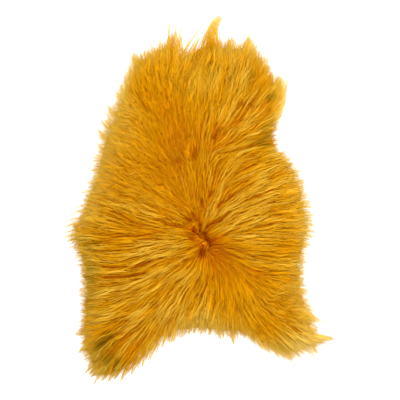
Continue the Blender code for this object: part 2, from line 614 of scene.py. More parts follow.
class Shading:
    """The shared shader groups and the materials made from them."""

    # Low places give the root's deep colour, also used as painted shade; olive is mostly painted shade,
    # and pale is the pale rim and tips, partly painted light.
    place_spans = (("Low", 0.0, 0.34), ("Middle", 0.26, 0.64), ("Tip", 0.56, 1.0))
    tone_spans = (("Olive", 0.40, 0.0), ("Pale", 0.58, 1.0))
    streak_stretch = (7.0, 170.0, 1.0)
    streak_roughness = 0.06

    def __init__(self) -> None:
        """Build the wool group once."""
        self.wool_group = self._build_wool_group()

    def _build_wool_group(self) -> Tree:
        """Build the node group that colours wool from its place along the fibre and its tone.

        Returns:
            The group, with sockets for the colours and for the map that holds place and tone.
        """
        group = bpy.data.node_groups.new("dyed_wool_tone_and_shade", "ShaderNodeTree")
        face = group.interface
        face.new_socket("Place and Tone", in_out="INPUT", socket_type="NodeSocketVector")
        for name in DYE_AND_LIGHT_COLOURS:
            face.new_socket(name, in_out="INPUT", socket_type="NodeSocketColor")
        face.new_socket("Fleck", in_out="INPUT", socket_type="NodeSocketFloat")
        face.new_socket("Base Roughness", in_out="INPUT", socket_type="NodeSocketFloat")
        face.new_socket("Color", in_out="OUTPUT", socket_type="NodeSocketColor")
        face.new_socket("Roughness", in_out="OUTPUT", socket_type="NodeSocketFloat")
        face.new_socket("Height", in_out="OUTPUT", socket_type="NodeSocketFloat")
        nodes, links = group.nodes, group.links
        source = nodes.new("NodeGroupInput")
        sink = nodes.new("NodeGroupOutput")
        split = nodes.new("ShaderNodeSeparateXYZ")
        links.new(source.outputs["Place and Tone"], split.inputs[0])
        colour = source.outputs["Root"]
        for name, low, high in self.place_spans:
            share = self._span(group, split.outputs["X"], low, high, smooth=True)
            colour = self._mixed(group, share, colour, source.outputs[name])
        for name, low, high in self.tone_spans:
            share = self._span(group, split.outputs["Y"], low, high)
            colour = self._mixed(group, share, colour, source.outputs[name])
        stretch = nodes.new("ShaderNodeMapping")
        stretch.inputs["Scale"].default_value = self.streak_stretch
        links.new(source.outputs["Place and Tone"], stretch.inputs["Vector"])
        streak = self._noise(group, stretch.outputs[0], scale=1.0, detail=3.0)
        swing = self._span(group, streak, 0.3, 0.7, least=-1.0)
        links.new(streak, sink.inputs["Height"])
        scaled = nodes.new("ShaderNodeMath")
        scaled.operation = "MULTIPLY_ADD"
        links.new(swing, scaled.inputs[0])
        links.new(source.outputs["Fleck"], scaled.inputs[1])
        scaled.inputs[2].default_value = 1.0
        bright = nodes.new("ShaderNodeVectorMath")
        bright.operation = "SCALE"
        links.new(colour, bright.inputs[0])
        links.new(scaled.outputs[0], bright.inputs["Scale"])
        links.new(bright.outputs[0], sink.inputs["Color"])
        rough = nodes.new("ShaderNodeMath")
        rough.operation = "MULTIPLY_ADD"
        links.new(swing, rough.inputs[0])
        rough.inputs[1].default_value = self.streak_roughness
        links.new(source.outputs["Base Roughness"], rough.inputs[2])
        links.new(rough.outputs[0], sink.inputs["Roughness"])
        return group

    @staticmethod
    def _span(
        tree: Tree,
        value: Socket,
        low: float,
        high: float,
        least: float = 0.0,
        smooth: bool = False,
    ) -> Socket:
        """Map the stretch of a value from low to high onto least to 1.

        Args:
            tree: The tree to build in.
            value: The value.
            low: Where it gives least.
            high: Where it gives 1.
            least: What low gives.
            smooth: Whether it eases in and out.

        Returns:
            The mapped value's socket.
        """
        span = tree.nodes.new("ShaderNodeMapRange")
        span.interpolation_type = "SMOOTHSTEP" if smooth else "LINEAR"
        span.inputs["From Min"].default_value = low
        span.inputs["From Max"].default_value = high
        span.inputs["To Min"].default_value = least
        tree.links.new(value, span.inputs["Value"])
        return span.outputs[0]

    @staticmethod
    def _noise(
        tree: Tree, place: Socket, scale: float, detail: float
    ) -> Socket:
        """Read noise at a place.

        Args:
            tree: The tree to build in.
            place: Where it is read.
            scale: How fine it is.
            detail: How many finer layers it has.

        Returns:
            The noise's socket.
        """
        noise = tree.nodes.new("ShaderNodeTexNoise")
        noise.inputs["Scale"].default_value = scale
        noise.inputs["Detail"].default_value = detail
        tree.links.new(place, noise.inputs["Vector"])
        return noise.outputs[0]

    @staticmethod
    def _mixed(
        tree: Tree,
        share: Socket,
        first: Socket,
        second: Socket,
    ) -> Socket:
        """Mix two colours.

        Args:
            tree: The tree to build in.
            share: How much of the second colour there is.
            first: The colour at share 0.
            second: The colour at share 1.

        Returns:
            The mixed colour's socket.
        """
        mix = tree.nodes.new("ShaderNodeMix")
        mix.data_type = "RGBA"
        tree.links.new(share, mix.inputs["Factor"])
        tree.links.new(first, mix.inputs["A"])
        tree.links.new(second, mix.inputs["B"])
        return mix.outputs["Result"]

    def wool(self, finish: WoolFinish) -> bpy.types.Material:
        """Make a wool material, which reads the place along the fibre and the tone from a map.

        Args:
            finish: Its colours and gloss.

        Returns:
            The material.
        """
        material, tree, shader = new_material(finish.name)
        place = tree.nodes.new("ShaderNodeUVMap")
        place.uv_map = PALETTE_MAP
        tone = tree.nodes.new("ShaderNodeGroup")
        tone.node_tree = self.wool_group
        tree.links.new(place.outputs[0], tone.inputs["Place and Tone"])
        for name in DYE_AND_LIGHT_COLOURS:
            tone.inputs[name].default_value = (*getattr(finish, name.lower()), 1.0)
        tone.inputs["Fleck"].default_value = finish.fleck
        tone.inputs["Base Roughness"].default_value = finish.roughness
        bump = tree.nodes.new("ShaderNodeBump")
        bump.inputs["Distance"].default_value = finish.streak_height
        tree.links.new(tone.outputs["Height"], bump.inputs["Height"])
        tree.links.new(tone.outputs["Color"], shader.inputs["Base Color"])
        tree.links.new(tone.outputs["Roughness"], shader.inputs["Roughness"])
        tree.links.new(bump.outputs[0], shader.inputs["Normal"])
        shader.inputs["Specular IOR Level"].default_value = finish.gloss
        return material

    def hide(self, finish: HideFinish) -> bpy.types.Material:
        """Make the suede material.

        Args:
            finish: Its colours, its mottle and its nap.

        Returns:
            The material.
        """
        material, tree, shader = new_material(finish.name)
        place = tree.nodes.new("ShaderNodeTexCoord").outputs["Object"]
        mottle = self._noise(tree, place, finish.mottle, detail=6.0)
        ramp = tree.nodes.new("ShaderNodeValToRGB")
        ends = ramp.color_ramp.elements
        for end, position, colour in zip(ends, finish.mottle_span, (finish.deep, finish.high)):
            end.position = position
            end.color = (*colour, 1.0)
        tree.links.new(mottle, ramp.inputs[0])
        tree.links.new(ramp.outputs[0], shader.inputs["Base Color"])
        nap = self._noise(tree, place, finish.nap, detail=4.0)
        bump = tree.nodes.new("ShaderNodeBump")
        bump.inputs["Strength"].default_value = finish.nap_strength
        bump.inputs["Distance"].default_value = finish.nap_height
        tree.links.new(nap, bump.inputs["Height"])
        tree.links.new(bump.outputs[0], shader.inputs["Normal"])
        shader.inputs["Roughness"].default_value = finish.roughness
        return material


def new_object(
    name: str, vertices: Array, faces: list[Array], material: bpy.types.Material
) -> bpy.types.Object:
    """Make a smooth-shaded mesh object.

    Args:
        name: The object's name.
        vertices: Its points.
        faces: Arrays of corner indices, one array for each number of corners.
        material: Its material.

    Returns:
        The object, linked to the scene.
    """
    mesh = bpy.data.meshes.new(name)
    counts = np.concatenate([np.full(len(block), block.shape[1]) for block in faces])
    corners = np.concatenate([block.ravel() for block in faces]).astype(np.int32)
    mesh.vertices.add(len(vertices))
    mesh.vertices.foreach_set("co", vertices.astype(np.float32).ravel())
    mesh.loops.add(len(corners))
    mesh.loops.foreach_set("vertex_index", corners)
    mesh.polygons.add(len(counts))
    starts = np.concatenate(([0], np.cumsum(counts)[:-1])).astype(np.int32)
    mesh.polygons.foreach_set("loop_start", starts)
    mesh.update(calc_edges=True)
    mesh.validate()
    mesh.materials.append(material)
    mesh.shade_smooth()
    thing = bpy.data.objects.new(name, mesh)
    bpy.context.scene.collection.objects.link(thing)
    return thing


def add_map(thing: bpy.types.Object, pairs: Array) -> None:
    """Give a mesh its palette map.

    Args:
        thing: The mesh object.
        pairs: The place along the fibre and the tone, one pair for each vertex.
    """
    corners = np.empty(len(thing.data.loops), np.int32)
    thing.data.loops.foreach_get("vertex_index", corners)
    layer = thing.data.uv_layers.new(name=PALETTE_MAP)
    layer.data.foreach_set("uv", pairs[corners].astype(np.float32).ravel())


@dataclass
class Hide:
    """The tanned skin: a thin sheet that ends well inside the wool's edge."""

    pelt: Pelt
    lie: WoolLie
    finish: HideFinish = HideFinish()
    inset: float = 0.042
    thickness: float = 0.0022
    base_height: float = 0.0001
    unevenness: float = 0.00025
    headings: int = 220
    rings: int = 10
    smoothings: int = 6
    reaches: Triple = (0.05, 0.70, 0.002)

    def edge(self) -> Array:
        """Find the skin's own smooth edge.

        Returns:
            Its points about the whorl, anticlockwise.
        """
        turns = np.linspace(0.0, TURN, self.headings, endpoint=False)
        ways = np.stack((np.cos(turns), np.sin(turns)), axis=-1)
        reaches = np.arange(*self.reaches)
        places = np.array(self.lie.whorl) + reaches[None, :, None] * ways[:, None, :]
        within = self.pelt.depth.at(places) >= self.inset
        reach = np.array([reaches[row].max() for row in within])
        for _round in range(self.smoothings):
            reach = 0.25 * np.roll(reach, 1) + 0.5 * reach + 0.25 * np.roll(reach, -1)
        return np.array(self.lie.whorl) + reach[:, None] * ways

    def build(self, shading: Shading) -> bpy.types.Object:
        """Make the skin as a closed sheet with a gently uneven top.

        Args:
            shading: Where its material comes from.

        Returns:
            The skin.
        """
        edge = self.edge()
        centre = np.array(self.lie.whorl)
        shares = (np.arange(1, self.rings + 1) / self.rings) ** 0.8
        rings = centre + shares[:, None, None] * (edge - centre)[None]
        flat = np.concatenate((centre[None], rings.reshape(-1, 2)))
        wave = self.unevenness * np.sin(flat[:, 0] / 0.031) * np.sin(flat[:, 1] / 0.043)
        top = np.column_stack((flat, self.thickness + wave))
        base = np.column_stack((flat, np.full(len(flat), self.base_height)))
        count = self.headings
        around = np.arange(count)
        after = (around + 1) % count
        fan = np.stack((np.zeros(count, int), 1 + around, 1 + after), axis=-1)
        inner = (1 + np.arange(self.rings - 1) * count)[:, None]
        outer = inner + count
        bands = np.stack((inner + around, outer + around, outer + after, inner + after), axis=-1)
        bands = bands.reshape(-1, 4)
        lift = len(flat)
        last = 1 + (self.rings - 1) * count
        rim = np.stack((last + around, lift + last + around, lift + last + after, last + after), axis=-1)
        triangles = np.concatenate((fan, lift + fan[:, ::-1]))
        quads = np.concatenate((bands, lift + bands[:, ::-1], rim))
        hide = new_object(
            "hide", np.concatenate((top, base)), [triangles, quads], shading.hide(self.finish)
        )
        hide.data.set_sharp_from_angle(angle=CREASE)
        return hide

    def area(self) -> float:
        """Return the skin's flat area in square metres."""
        edge = self.edge()
        after = np.roll(edge, -1, axis=0)
        return float(0.5 * abs((edge[:, 0] * after[:, 1] - edge[:, 1] * after[:, 0]).sum()))


# The line that the locks part from at the whorl (across and along, mm).
WHORL_PARTING = ((-18, -56), (-12, -80), (6, -92), (20, -112), (14, -126), (5, -142))

# Places where the wool parts or sinks, and painted shade darkens it: the two ends of each (across and
# along, mm), its half width (mm) and how deep it is, from 0 to 1.
PARTINGS = (
    (14, -76, 39, -56, 3, 1.0), (4, -86, 9, -102, 5, 0.8), (9, -102, 20, -113, 4, 0.8),
    (20, -113, 20, -122, 4, 0.6), (20, -122, 8, -136, 5, 0.7), (24, -110, 46, -104, 3, 0.7),
    (6, -130, 5, -148, 6, 0.8), (-18, -152, -40, -160, 3, 0.6), (-15, -74, -12, -86, 5, 0.9),
    (-4, -60, -2, -78, 4, 0.7), (-34, -50, -24, -58, 4, 0.8), (-20, -38, -15, -50, 4, 0.7),
    (-28, -102, -16, -106, 4, 0.8), (40, -60, 80, -34, 3, 0.5), (52, -100, 100, -78, 3, 0.4),
    (-30, -78, -95, -62, 3, 0.4), (3, -4, 6, -20, 3, 0.9), (30, 20, 24, 6, 4, 0.7),
    (44, -22, 54, -8, 3, 0.7), (76, 2, 95, 18, 3, 0.6), (140, 3, 160, 9, 3, 0.6),
    (-60, 94, -52, 98, 8, 0.5), (-12, 104, -10, 130, 5, 0.5), (38, 160, 91, 221, 4, 0.7),
    (91, 221, 112, 250, 3, 0.5), (95, 190, 140, 255, 3, 0.5), (50, 115, 150, 140, 3, 0.6),
    (120, -5, 215, 38, 3, 0.5), (-135, 225, -160, 270, 3, 0.4), (-170, -60, -225, -30, 3, 0.5),
    (-125, -160, -175, -180, 4, 0.8), (-175, -180, -250, -175, 3, 0.7),
    (-140, -190, -180, -200, 4, 0.7), (-180, -200, -250, -202, 3, 0.7),
    (-197, -345, -228, -360, 3, 0.8), (-226, -358, -260, -374, 4, 1.0), (22, -215, 0, -260, 3, 0.5),
    (-55, 300, -40, 350, 3, 0.4),
)

# Where the wool is coloured deeper or paler than elsewhere: places (across and along, mm), how far each
# reaches (mm), the change in the place along the fibre, below 0 for the deep colour of its root, and
# the change in tone, below 0 for olive and above 0 for pale. The whorl and olive patches are painted
# shade, and the pale patches at the edge partly painted light.
DYE_AND_LIGHT_PATCHES = {
    # Painted shade: the deep colour in the hollow of the whorl.
    "whorl": (
        (10, -110, 18, -0.16, 0.00), (36, -146, 34, -0.27, 0.00), (-10, -67, 22, -0.21, 0.00),
    ),
    "deep in the middle": (
        (-65, 95, 45, -0.15, 0.00), (-60, 195, 60, -0.15, 0.00), (-150, -65, 32, -0.15, 0.00),
        (-228, -112, 38, -0.16, 0.00), (-105, -215, 40, -0.11, 0.00), (0, 15, 45, -0.07, 0.00),
    ),
    "deep on the right": (
        (75, -215, 45, -0.12, 0.00), (175, -245, 40, -0.05, 0.00), (145, -365, 38, -0.17, -0.02),
        (180, 155, 36, -0.18, 0.00), (176, 318, 42, -0.19, -0.02), (235, 45, 45, -0.09, 0.00),
        (90, 95, 32, -0.12, 0.00), (235, -150, 32, -0.09, 0.00), (80, 250, 26, -0.08, 0.00),
    ),
    "deep on the left": (
        (-300, -260, 30, -0.07, 0.00), (-190, -312, 34, -0.13, 0.00), (-182, -425, 30, -0.25, 0.00),
        (-70, 415, 26, -0.20, -0.10), (-185, 310, 36, -0.10, 0.00), (-75, -362, 28, -0.14, 0.00),
        (-100, 262, 34, -0.07, 0.00),
    ),
    "golden": (
        (-205, 190, 60, 0.12, 0.04), (75, 210, 24, 0.17, -0.06), (60, 42, 28, 0.09, 0.00),
        (78, -48, 26, 0.12, 0.00), (182, -6, 34, 0.11, 0.00), (-152, -158, 30, 0.11, 0.00),
        (-135, -275, 44, 0.09, 0.00), (-14, -335, 40, 0.18, 0.00), (-240, -270, 34, 0.07, -0.12),
        (140, -285, 52, 0.03, -0.14), (-215, -362, 40, 0.05, -0.12), (-278, -155, 24, 0.08, -0.06),
    ),
    # Pale rims, partly painted light that lifts the shade on the wool's edge.
    "pale towards the edge": (
        (-290, 40, 60, 0.07, 0.06), (-318, -55, 40, 0.07, 0.07), (305, -75, 38, 0.10, 0.20),
        (295, -205, 40, 0.05, 0.06), (258, -386, 44, 0.20, 0.08), (284, -406, 38, 0.08, 0.30),
        (-290, -425, 32, 0.08, 0.03), (10, -362, 50, 0.02, 0.08), (206, 120, 30, 0.03, 0.06),
        (-238, -470, 24, 0.10, 0.06), (-110, 388, 34, 0.00, 0.11),
    ),
    "yellow on the neck": (
        (0, 316, 60, 0.10, -0.17), (72, 345, 48, 0.06, -0.10), (-50, 280, 38, 0.03, -0.10),
        (125, 266, 36, 0.04, -0.12), (10, 372, 44, -0.10, 0.00),
    ),
    # Painted shade: olive where the wool lies in shadow.
    "olive": (
        (172, 148, 24, -0.02, -0.38), (198, 192, 24, -0.02, -0.26), (186, 84, 18, -0.02, -0.22),
        (186, 264, 14, 0.06, -0.34), (134, 322, 12, -0.02, -0.26), (-256, -376, 16, -0.14, -0.27),
        (-233, -357, 12, -0.16, -0.26), (-229, -428, 25, -0.10, -0.36), (-262, -394, 20, -0.08, -0.16),
        (-285, -195, 24, -0.02, -0.36), (-296, -265, 22, 0.00, -0.30), (-288, -115, 24, -0.02, -0.32),
    ),
}

# Where the wool lies smoother than elsewhere: places (across and along, mm), how far each reaches (mm)
# and how much smoother it is, below 0 where it stands up in sharper locks.
CALM_PATCHES = (
    (-105, 165, 75, 0.80), (-12, 235, 52, 0.80), (90, -215, 48, 0.90), (130, -345, 38, 0.60),
    (285, -90, 45, 0.70), (-110, 310, 55, 0.65), (30, 320, 45, 0.55), (-295, -40, 50, 0.30),
    (190, -80, 45, 0.35), (235, 40, 35, 0.40), (25, -155, 26, 0.50), (-215, -395, 50, -0.60),
    (-175, -205, 45, -0.25), (0, -290, 45, -0.15), (40, 150, 40, -0.30), (180, 330, 40, -0.30),
    (-26, 370, 30, -0.50), (-26, 100, 30, -0.40), (66, -182, 34, 0.40), (122, -262, 40, 0.40),
)

# Where the wool is short and fuzzy, not long and smooth: places (across and along, mm), how far each
# reaches (mm) and how fuzzy it is, from 0 to 1.
FUZZY_PATCHES = (
    (-130, 120, 90, 0.9), (-50, 50, 50, 0.7), (-190, 20, 60, 0.5), (-90, 220, 60, 0.4),
    (215, -280, 45, 0.5), (-25, -58, 28, 0.7), (-5, -15, 30, 0.4), (85, -200, 40, 0.35),
)

# Where only fine wool reaches the edge: places (across and along, mm), how far each reaches (mm) and
# how far the long wool stops short there (mm).
THIN_EDGES = (
    (290, -110, 80, 14), (262, 0, 50, 9), (-275, 110, 70, 12), (-225, 280, 60, 8),
    (-130, 380, 60, 7), (60, 400, 60, 6), (160, 370, 60, 7), (225, 250, 60, 5), (-320, -250, 80, 4),
    (20, -350, 90, 6), (262, -398, 50, 9), (-8, 428, 22, 34), (34, 456, 20, 60), (-68, 440, 18, 20),
    (-250, 205, 45, 8), (-125, -405, 30, 8), (-170, -440, 32, 9), (-225, -468, 34, 7),
)

# Where tufts stand in for the fringe: places (across and along, mm), how far each reaches (mm) and
# how surely no fringe grows there.
BARE_EDGES = (
    (34, 450, 30, 1.0), (-4, 425, 18, 1.0), (-68, 440, 20, 1.0), (-118, -398, 20, 0.9),
    (-152, -428, 24, 0.9), (-190, -456, 24, 0.9), (-232, -474, 24, 0.9),
)


@dataclass(frozen=True)
class Partings:
    """Where the locks part, so that the wool lies lower and painted shade darkens it."""

    rows: Rows = PARTINGS

    def depth(self, places: Array) -> Array:
        """Measure how much the wool parts at some places.

        Args:
            places: Places, with X and Y first on the last axis.

        Returns:
            0 where it doesn't part, up to 1 in the middle of the deepest parting.
        """
        deepest = np.zeros(places.shape[:-1])
        for row in self.rows:
            start, end = np.array(row[0:2]) * MM, np.array(row[2:4]) * MM
            run = end - start
            offset = places[..., :2] - start
            share = np.clip((offset @ run) / max(float(run @ run), 1e-9), 0.0, 1.0)
            gap = np.linalg.norm(offset - share[..., None] * run, axis=-1) / (row[4] * MM)
            deepest = np.maximum(deepest, row[5] * np.exp(-0.5 * gap ** 2))
        return deepest


@dataclass(frozen=True)
class DyeAndLight:
    """How the wool's colour varies over the pelt: deeper in the middle, patchy, with painted shade in
    some patches, and paler at the edge, partly painted light.

    pale_reach says how far from the edge the pale rim begins, outside it, and ends, inside it.
    """

    pelt: Pelt
    patches: Rows = tuple(
        row for rows in DYE_AND_LIGHT_PATCHES.values() for row in rows
    )
    edge_lift: float = 0.14
    edge_reach: float = 0.050
    pale_lift: float = 0.12
    pale_tone: float = 0.20
    pale_reach: Pair = (-0.006, 0.024)
    thin_gain: float = 0.05
    thin_most: float = 1.7

    def shifts(self, places: Array) -> tuple[Array, Array]:
        """Work out how the colour changes at some places, painted light and shade included.

        Args:
            places: Places, with X and Y first on the last axis.

        Returns:
            The change in the place along the fibre, and the change in tone.
        """
        depth = self.pelt.depth.at(places)
        thin = np.minimum(1.0 + self.thin_gain * spread(places, THIN_EDGES), self.thin_most)
        # Paler near the edge, more so where the wool is thin: partly the wool's pale rim, partly painted
        # light on the shaded edge.
        near = (1.0 - ease(depth, 0.0, self.edge_reach)) * thin
        rim = (1.0 - ease(depth, *self.pale_reach)) * thin
        place = self.edge_lift * near + self.pale_lift * rim + spread(places, self.patches)
        tone = self.pale_tone * rim + spread(places, self.patches, 4)
        return place, tone


@dataclass
class Underwool:
    """The dense wool that fills the pile under the long locks, combed the same way."""

    pelt: Pelt
    combing: Combing
    partings: Partings
    dye_and_light: DyeAndLight
    finish: WoolFinish = WoolFinish("underwool_dye_and_shade")
    step: float = 0.0034
    inset: float = 0.010
    thin_inset: float = 0.4
    ragged: float = 0.0015
    fill: float = 0.72
    calm_fill: float = 0.12
    rise_run: float = 0.060
    ridge: float = 0.0020
    fibre: float = 0.0010
    parting_drop: float = 0.007
    least_height: float = 0.0030
    foot_height: float = 0.0024
    place: float = 0.34
    calm_place: float = 0.16
    relief_painted_shade: float = 0.10
    edge_place: float = 0.20
    edge_run: Pair = (0.008, 0.040)
    least_place: float = 0.36

    def build(self, shading: Shading) -> bpy.types.Object:
        """Make the underwool as one closed mound with combed ridges.

        Args:
            shading: Where its material comes from.

        Returns:
            The underwool.
        """
        low, high = self.pelt.box()
        shape = (int((high[1] - low[1]) / self.step) + 2, int((high[0] - low[0]) / self.step) + 2)
        rows, columns = np.mgrid[0:shape[0], 0:shape[1]]
        places = np.stack((low[0] + columns * self.step, low[1] + rows * self.step), axis=-1)
        depth = self.pelt.depth.at(places)
        locks = self.combing.bands.at(places)
        fibres = self.combing.lines.at(places)
        smooth = np.clip(spread(places, CALM_PATCHES), 0.0, 0.9)
        fuzz = np.clip(spread(places, FUZZY_PATCHES), 0.0, 1.0)
        calm = (1.0 - 0.8 * fuzz) * (1.0 - 0.7 * smooth)
        height = self.pelt.top.at(places) * self.fill
        height += self.pelt.top.at(places) * self.calm_fill * smooth
        height += ease(depth, 0.0, self.rise_run) * calm * (self.ridge * locks + self.fibre * fibres)
        height -= self.parting_drop * self.partings.depth(places)
        height = np.maximum(height, self.least_height)
        index = np.arange(shape[0] * shape[1]).reshape(shape)
        inset = self.inset + self.thin_inset * spread(places, THIN_EDGES) * MM
        within = depth - self.ragged * locks > inset
        square = within[:-1, :-1] & within[1:, :-1] & within[:-1, 1:] & within[1:, 1:]
        quads = np.stack(
            (index[:-1, :-1], index[:-1, 1:], index[1:, 1:], index[1:, :-1]), axis=-1
        )[square]
        used, corners = np.unique(quads, return_inverse=True)
        corners = corners.reshape(quads.shape)
        points = np.column_stack((places.reshape(-1, 2)[used], height.ravel()[used]))
        thing = new_object("underwool", points, [corners], shading.wool(self.finish))
        # The underwool's deep colour is partly painted shade in the gaps between the locks: deeper in
        # its combed grooves and lighter where it rises in calm patches; towards the edge it turns paler,
        # partly painted light.
        relief = (0.75 * locks + 0.45 * fibres).ravel()[used]
        place_shift, tone_shift = self.dye_and_light.shifts(points)
        place = self.place + self.calm_place * smooth.ravel()[used] + self.relief_painted_shade * relief
        place += 0.6 * place_shift
        place += self.edge_place * (1.0 - ease(depth.ravel()[used], *self.edge_run))
        place = np.maximum(place, self.least_place + 0.10 * fuzz.ravel()[used])
        tone = 0.50 + 0.5 * tone_shift
        add_map(thing, np.clip(np.column_stack((place, tone)), 0.02, 0.98))
        self._close(thing)
        return thing

    def _close(self, thing: bpy.types.Object) -> None:
        """Give the mound a wall down to the hide and a flat base.

        Args:
            thing: The mound's top, open below.
        """
        mound = bmesh.new()
        mound.from_mesh(thing.data)
        rim = [edge for edge in mound.edges if edge.is_boundary]
        wall = bmesh.ops.extrude_edge_only(mound, edges=rim)["geom"]
        for vertex in (item for item in wall if isinstance(item, bmesh.types.BMVert)):
            vertex.co.z = self.foot_height
        foot = [edge for edge in mound.edges if edge.is_boundary]
        base = bmesh.ops.holes_fill(mound, edges=foot, sides=0)["faces"]
        bmesh.ops.triangulate(mound, faces=base)
        mound.to_mesh(thing.data)
        mound.free()


@dataclass
class Fibres:
    """Tapered fibres that have the same number of rings.

    lines holds their middle lines, as fibres by rings by three, and widths their half width at each
    ring. places runs from 0 at the root to 1 at the tip, its low end also serving as painted shade, and
    tones from 0, olive and mostly painted shade, to 1, pale.
    """

    lines: Array
    widths: Array
    places: Array
    tones: Array
    sides: int = 3
    flatness: float = 0.7
    twist: float = 0.35
    twist_step: float = 2.399
    tone_span: float = 0.018
    map_edge: float = 0.004

    def chosen(self, flags: Array) -> "Fibres":
        """Return the fibres that the flags pick."""
        return Fibres(self.lines[flags], self.widths[flags], self.places[flags], self.tones[flags])

    def build(self, name: str, material: bpy.types.Material) -> bpy.types.Object:
        """Join the fibres into one object, each a closed tube that ends in a point.

        Args:
            name: The object's name.
            material: Its material.

        Returns:
            The object.
        """
        count, rings = self.lines.shape[:2]
        along = unit(np.gradient(self.lines, axis=1))
        side = unit(np.cross(np.array((0.0, 0.0, 1.0)), along))
        up = np.cross(along, side)
        turns = math.pi / 2 + TURN * np.arange(self.sides) / self.sides
        angles = turns[None, :] + self.twist * np.sin(np.arange(count) * self.twist_step)[:, None]
        body = rings - 1
        half = self.widths[:, :body, None, None]
        ring = (
            self.lines[:, :body, None, :]
            + half * np.cos(angles)[:, None, :, None] * side[:, :body, None, :]
            + self.flatness * half * np.sin(angles)[:, None, :, None] * up[:, :body, None, :]
        )
        points = np.concatenate((ring.reshape(count, -1, 3), self.lines[:, -1:, :]), axis=1)
        each = body * self.sides + 1
        around = np.arange(self.sides)
        after = (around + 1) % self.sides
        start = (np.arange(body - 1) * self.sides)[:, None]
        quads = np.stack(
            (start + around, start + after, start + self.sides + after, start + self.sides + around),
            axis=-1,
        ).reshape(-1, 4)
        last = (body - 1) * self.sides
        tips = np.stack((last + around, last + after, np.full(self.sides, each - 1)), axis=-1)
        triangles = np.concatenate((tips, around[::-1][None, :]))
        offsets = (np.arange(count) * each)[:, None, None]
        thing = new_object(
            name,
            points.reshape(-1, 3),
            [(offsets + quads).reshape(-1, 4), (offsets + triangles).reshape(-1, 3)],
            material,
        )
        copies = np.append(np.full(body, self.sides), 1)
        shift = np.append(np.tile((0.0, -0.5, 0.5), body), 0.0) * self.tone_span
        place = np.repeat(self.places, copies, axis=1)
        tone = np.repeat(self.tones, copies, axis=1) + shift
        pairs = np.stack((place, tone), axis=-1).reshape(-1, 2)
        add_map(thing, np.clip(pairs, self.map_edge, 1.0 - self.map_edge))
        return thing


@dataclass(frozen=True)
class Strands:
    """Strands of a few fibres each, the locks they are in and the source of chance they draw from.

    lock is the number of each strand's lock. beside and ahead say how far each strand's root is to
    the left and in front of its lock's middle, in metres. fuzz and wild say how fuzzy the wool is at
    each root and how near the whorl, from 0 to 1, and calm how smooth it is, below 0 where sharper.
    """

    roots: Array
    each: int
    locks: int
    lock: Array
    beside: Array
    ahead: Array
    fuzz: Array
    calm: Array
    wild: Array
    rng: np.random.Generator

    @property
    def count(self) -> int:
        """Return how many strands there are."""
        return len(self.roots)

    def shared(self, values: Array) -> Array:
        """Give each strand's number to each of its fibres, as a column."""
        return np.repeat(values, self.each)[:, None]

    def drawn(self, low: float, high: float) -> Array:
        """Draw an even number for each lock, and give it to each of its strands."""
        return self.rng.uniform(low, high, self.locks)[self.lock]

    def swung(self, size: float) -> Array:
        """Draw a normal number for each lock, and give it to each of its strands."""
        return self.rng.normal(0.0, size, self.locks)[self.lock]

    def by_lock(self, low: float, high: float) -> Array:
        """Draw an even number for each lock, and give it to each of its fibres."""
        return self.shared(self.drawn(low, high))

    def by_strand(self, low: float, high: float) -> Array:
        """Draw an even number for each strand, and give it to each of its fibres."""
        return self.shared(self.rng.uniform(low, high, self.count))

    def by_fibre(self, low: float, high: float) -> Array:
        """Draw an even number for each fibre."""
        return self.rng.uniform(low, high, (self.count * self.each, 1))

    def normal(self, size: float) -> Array:
        """Draw a normal number for each fibre."""
        return self.rng.normal(0.0, size, (self.count * self.each, 1))


@dataclass
class Course:
    """The way that the fibres run over the floor before they are raised.

    Everything is as fibres by rings, or one column for all of a fibre's rings: middle is the line
    that the strand follows, with its left in side; share runs from 0 at the root to 1 at the tip, and
    run is the metres from the root; slot is the fibre's place in its strand, from -1 to 1; rough says
    how fuzzy the wool is, and crisp how sharply its locks stand out.
    """

    middle: Array
    side: Array
    share: Array
    run: Array
    slot: Array
    rough: Array
    crisp: Array


@dataclass
class Ridges:
    """How the wool is ridged: in combed bands and lines, in a dome over each lock, and by rank.

    rank runs from 0 for the strands that lie lowest to 1, and relief is the whole in metres.
    """

    bands: Array
    lines: Array
    dome: Array
    rank: Array
    relief: Array


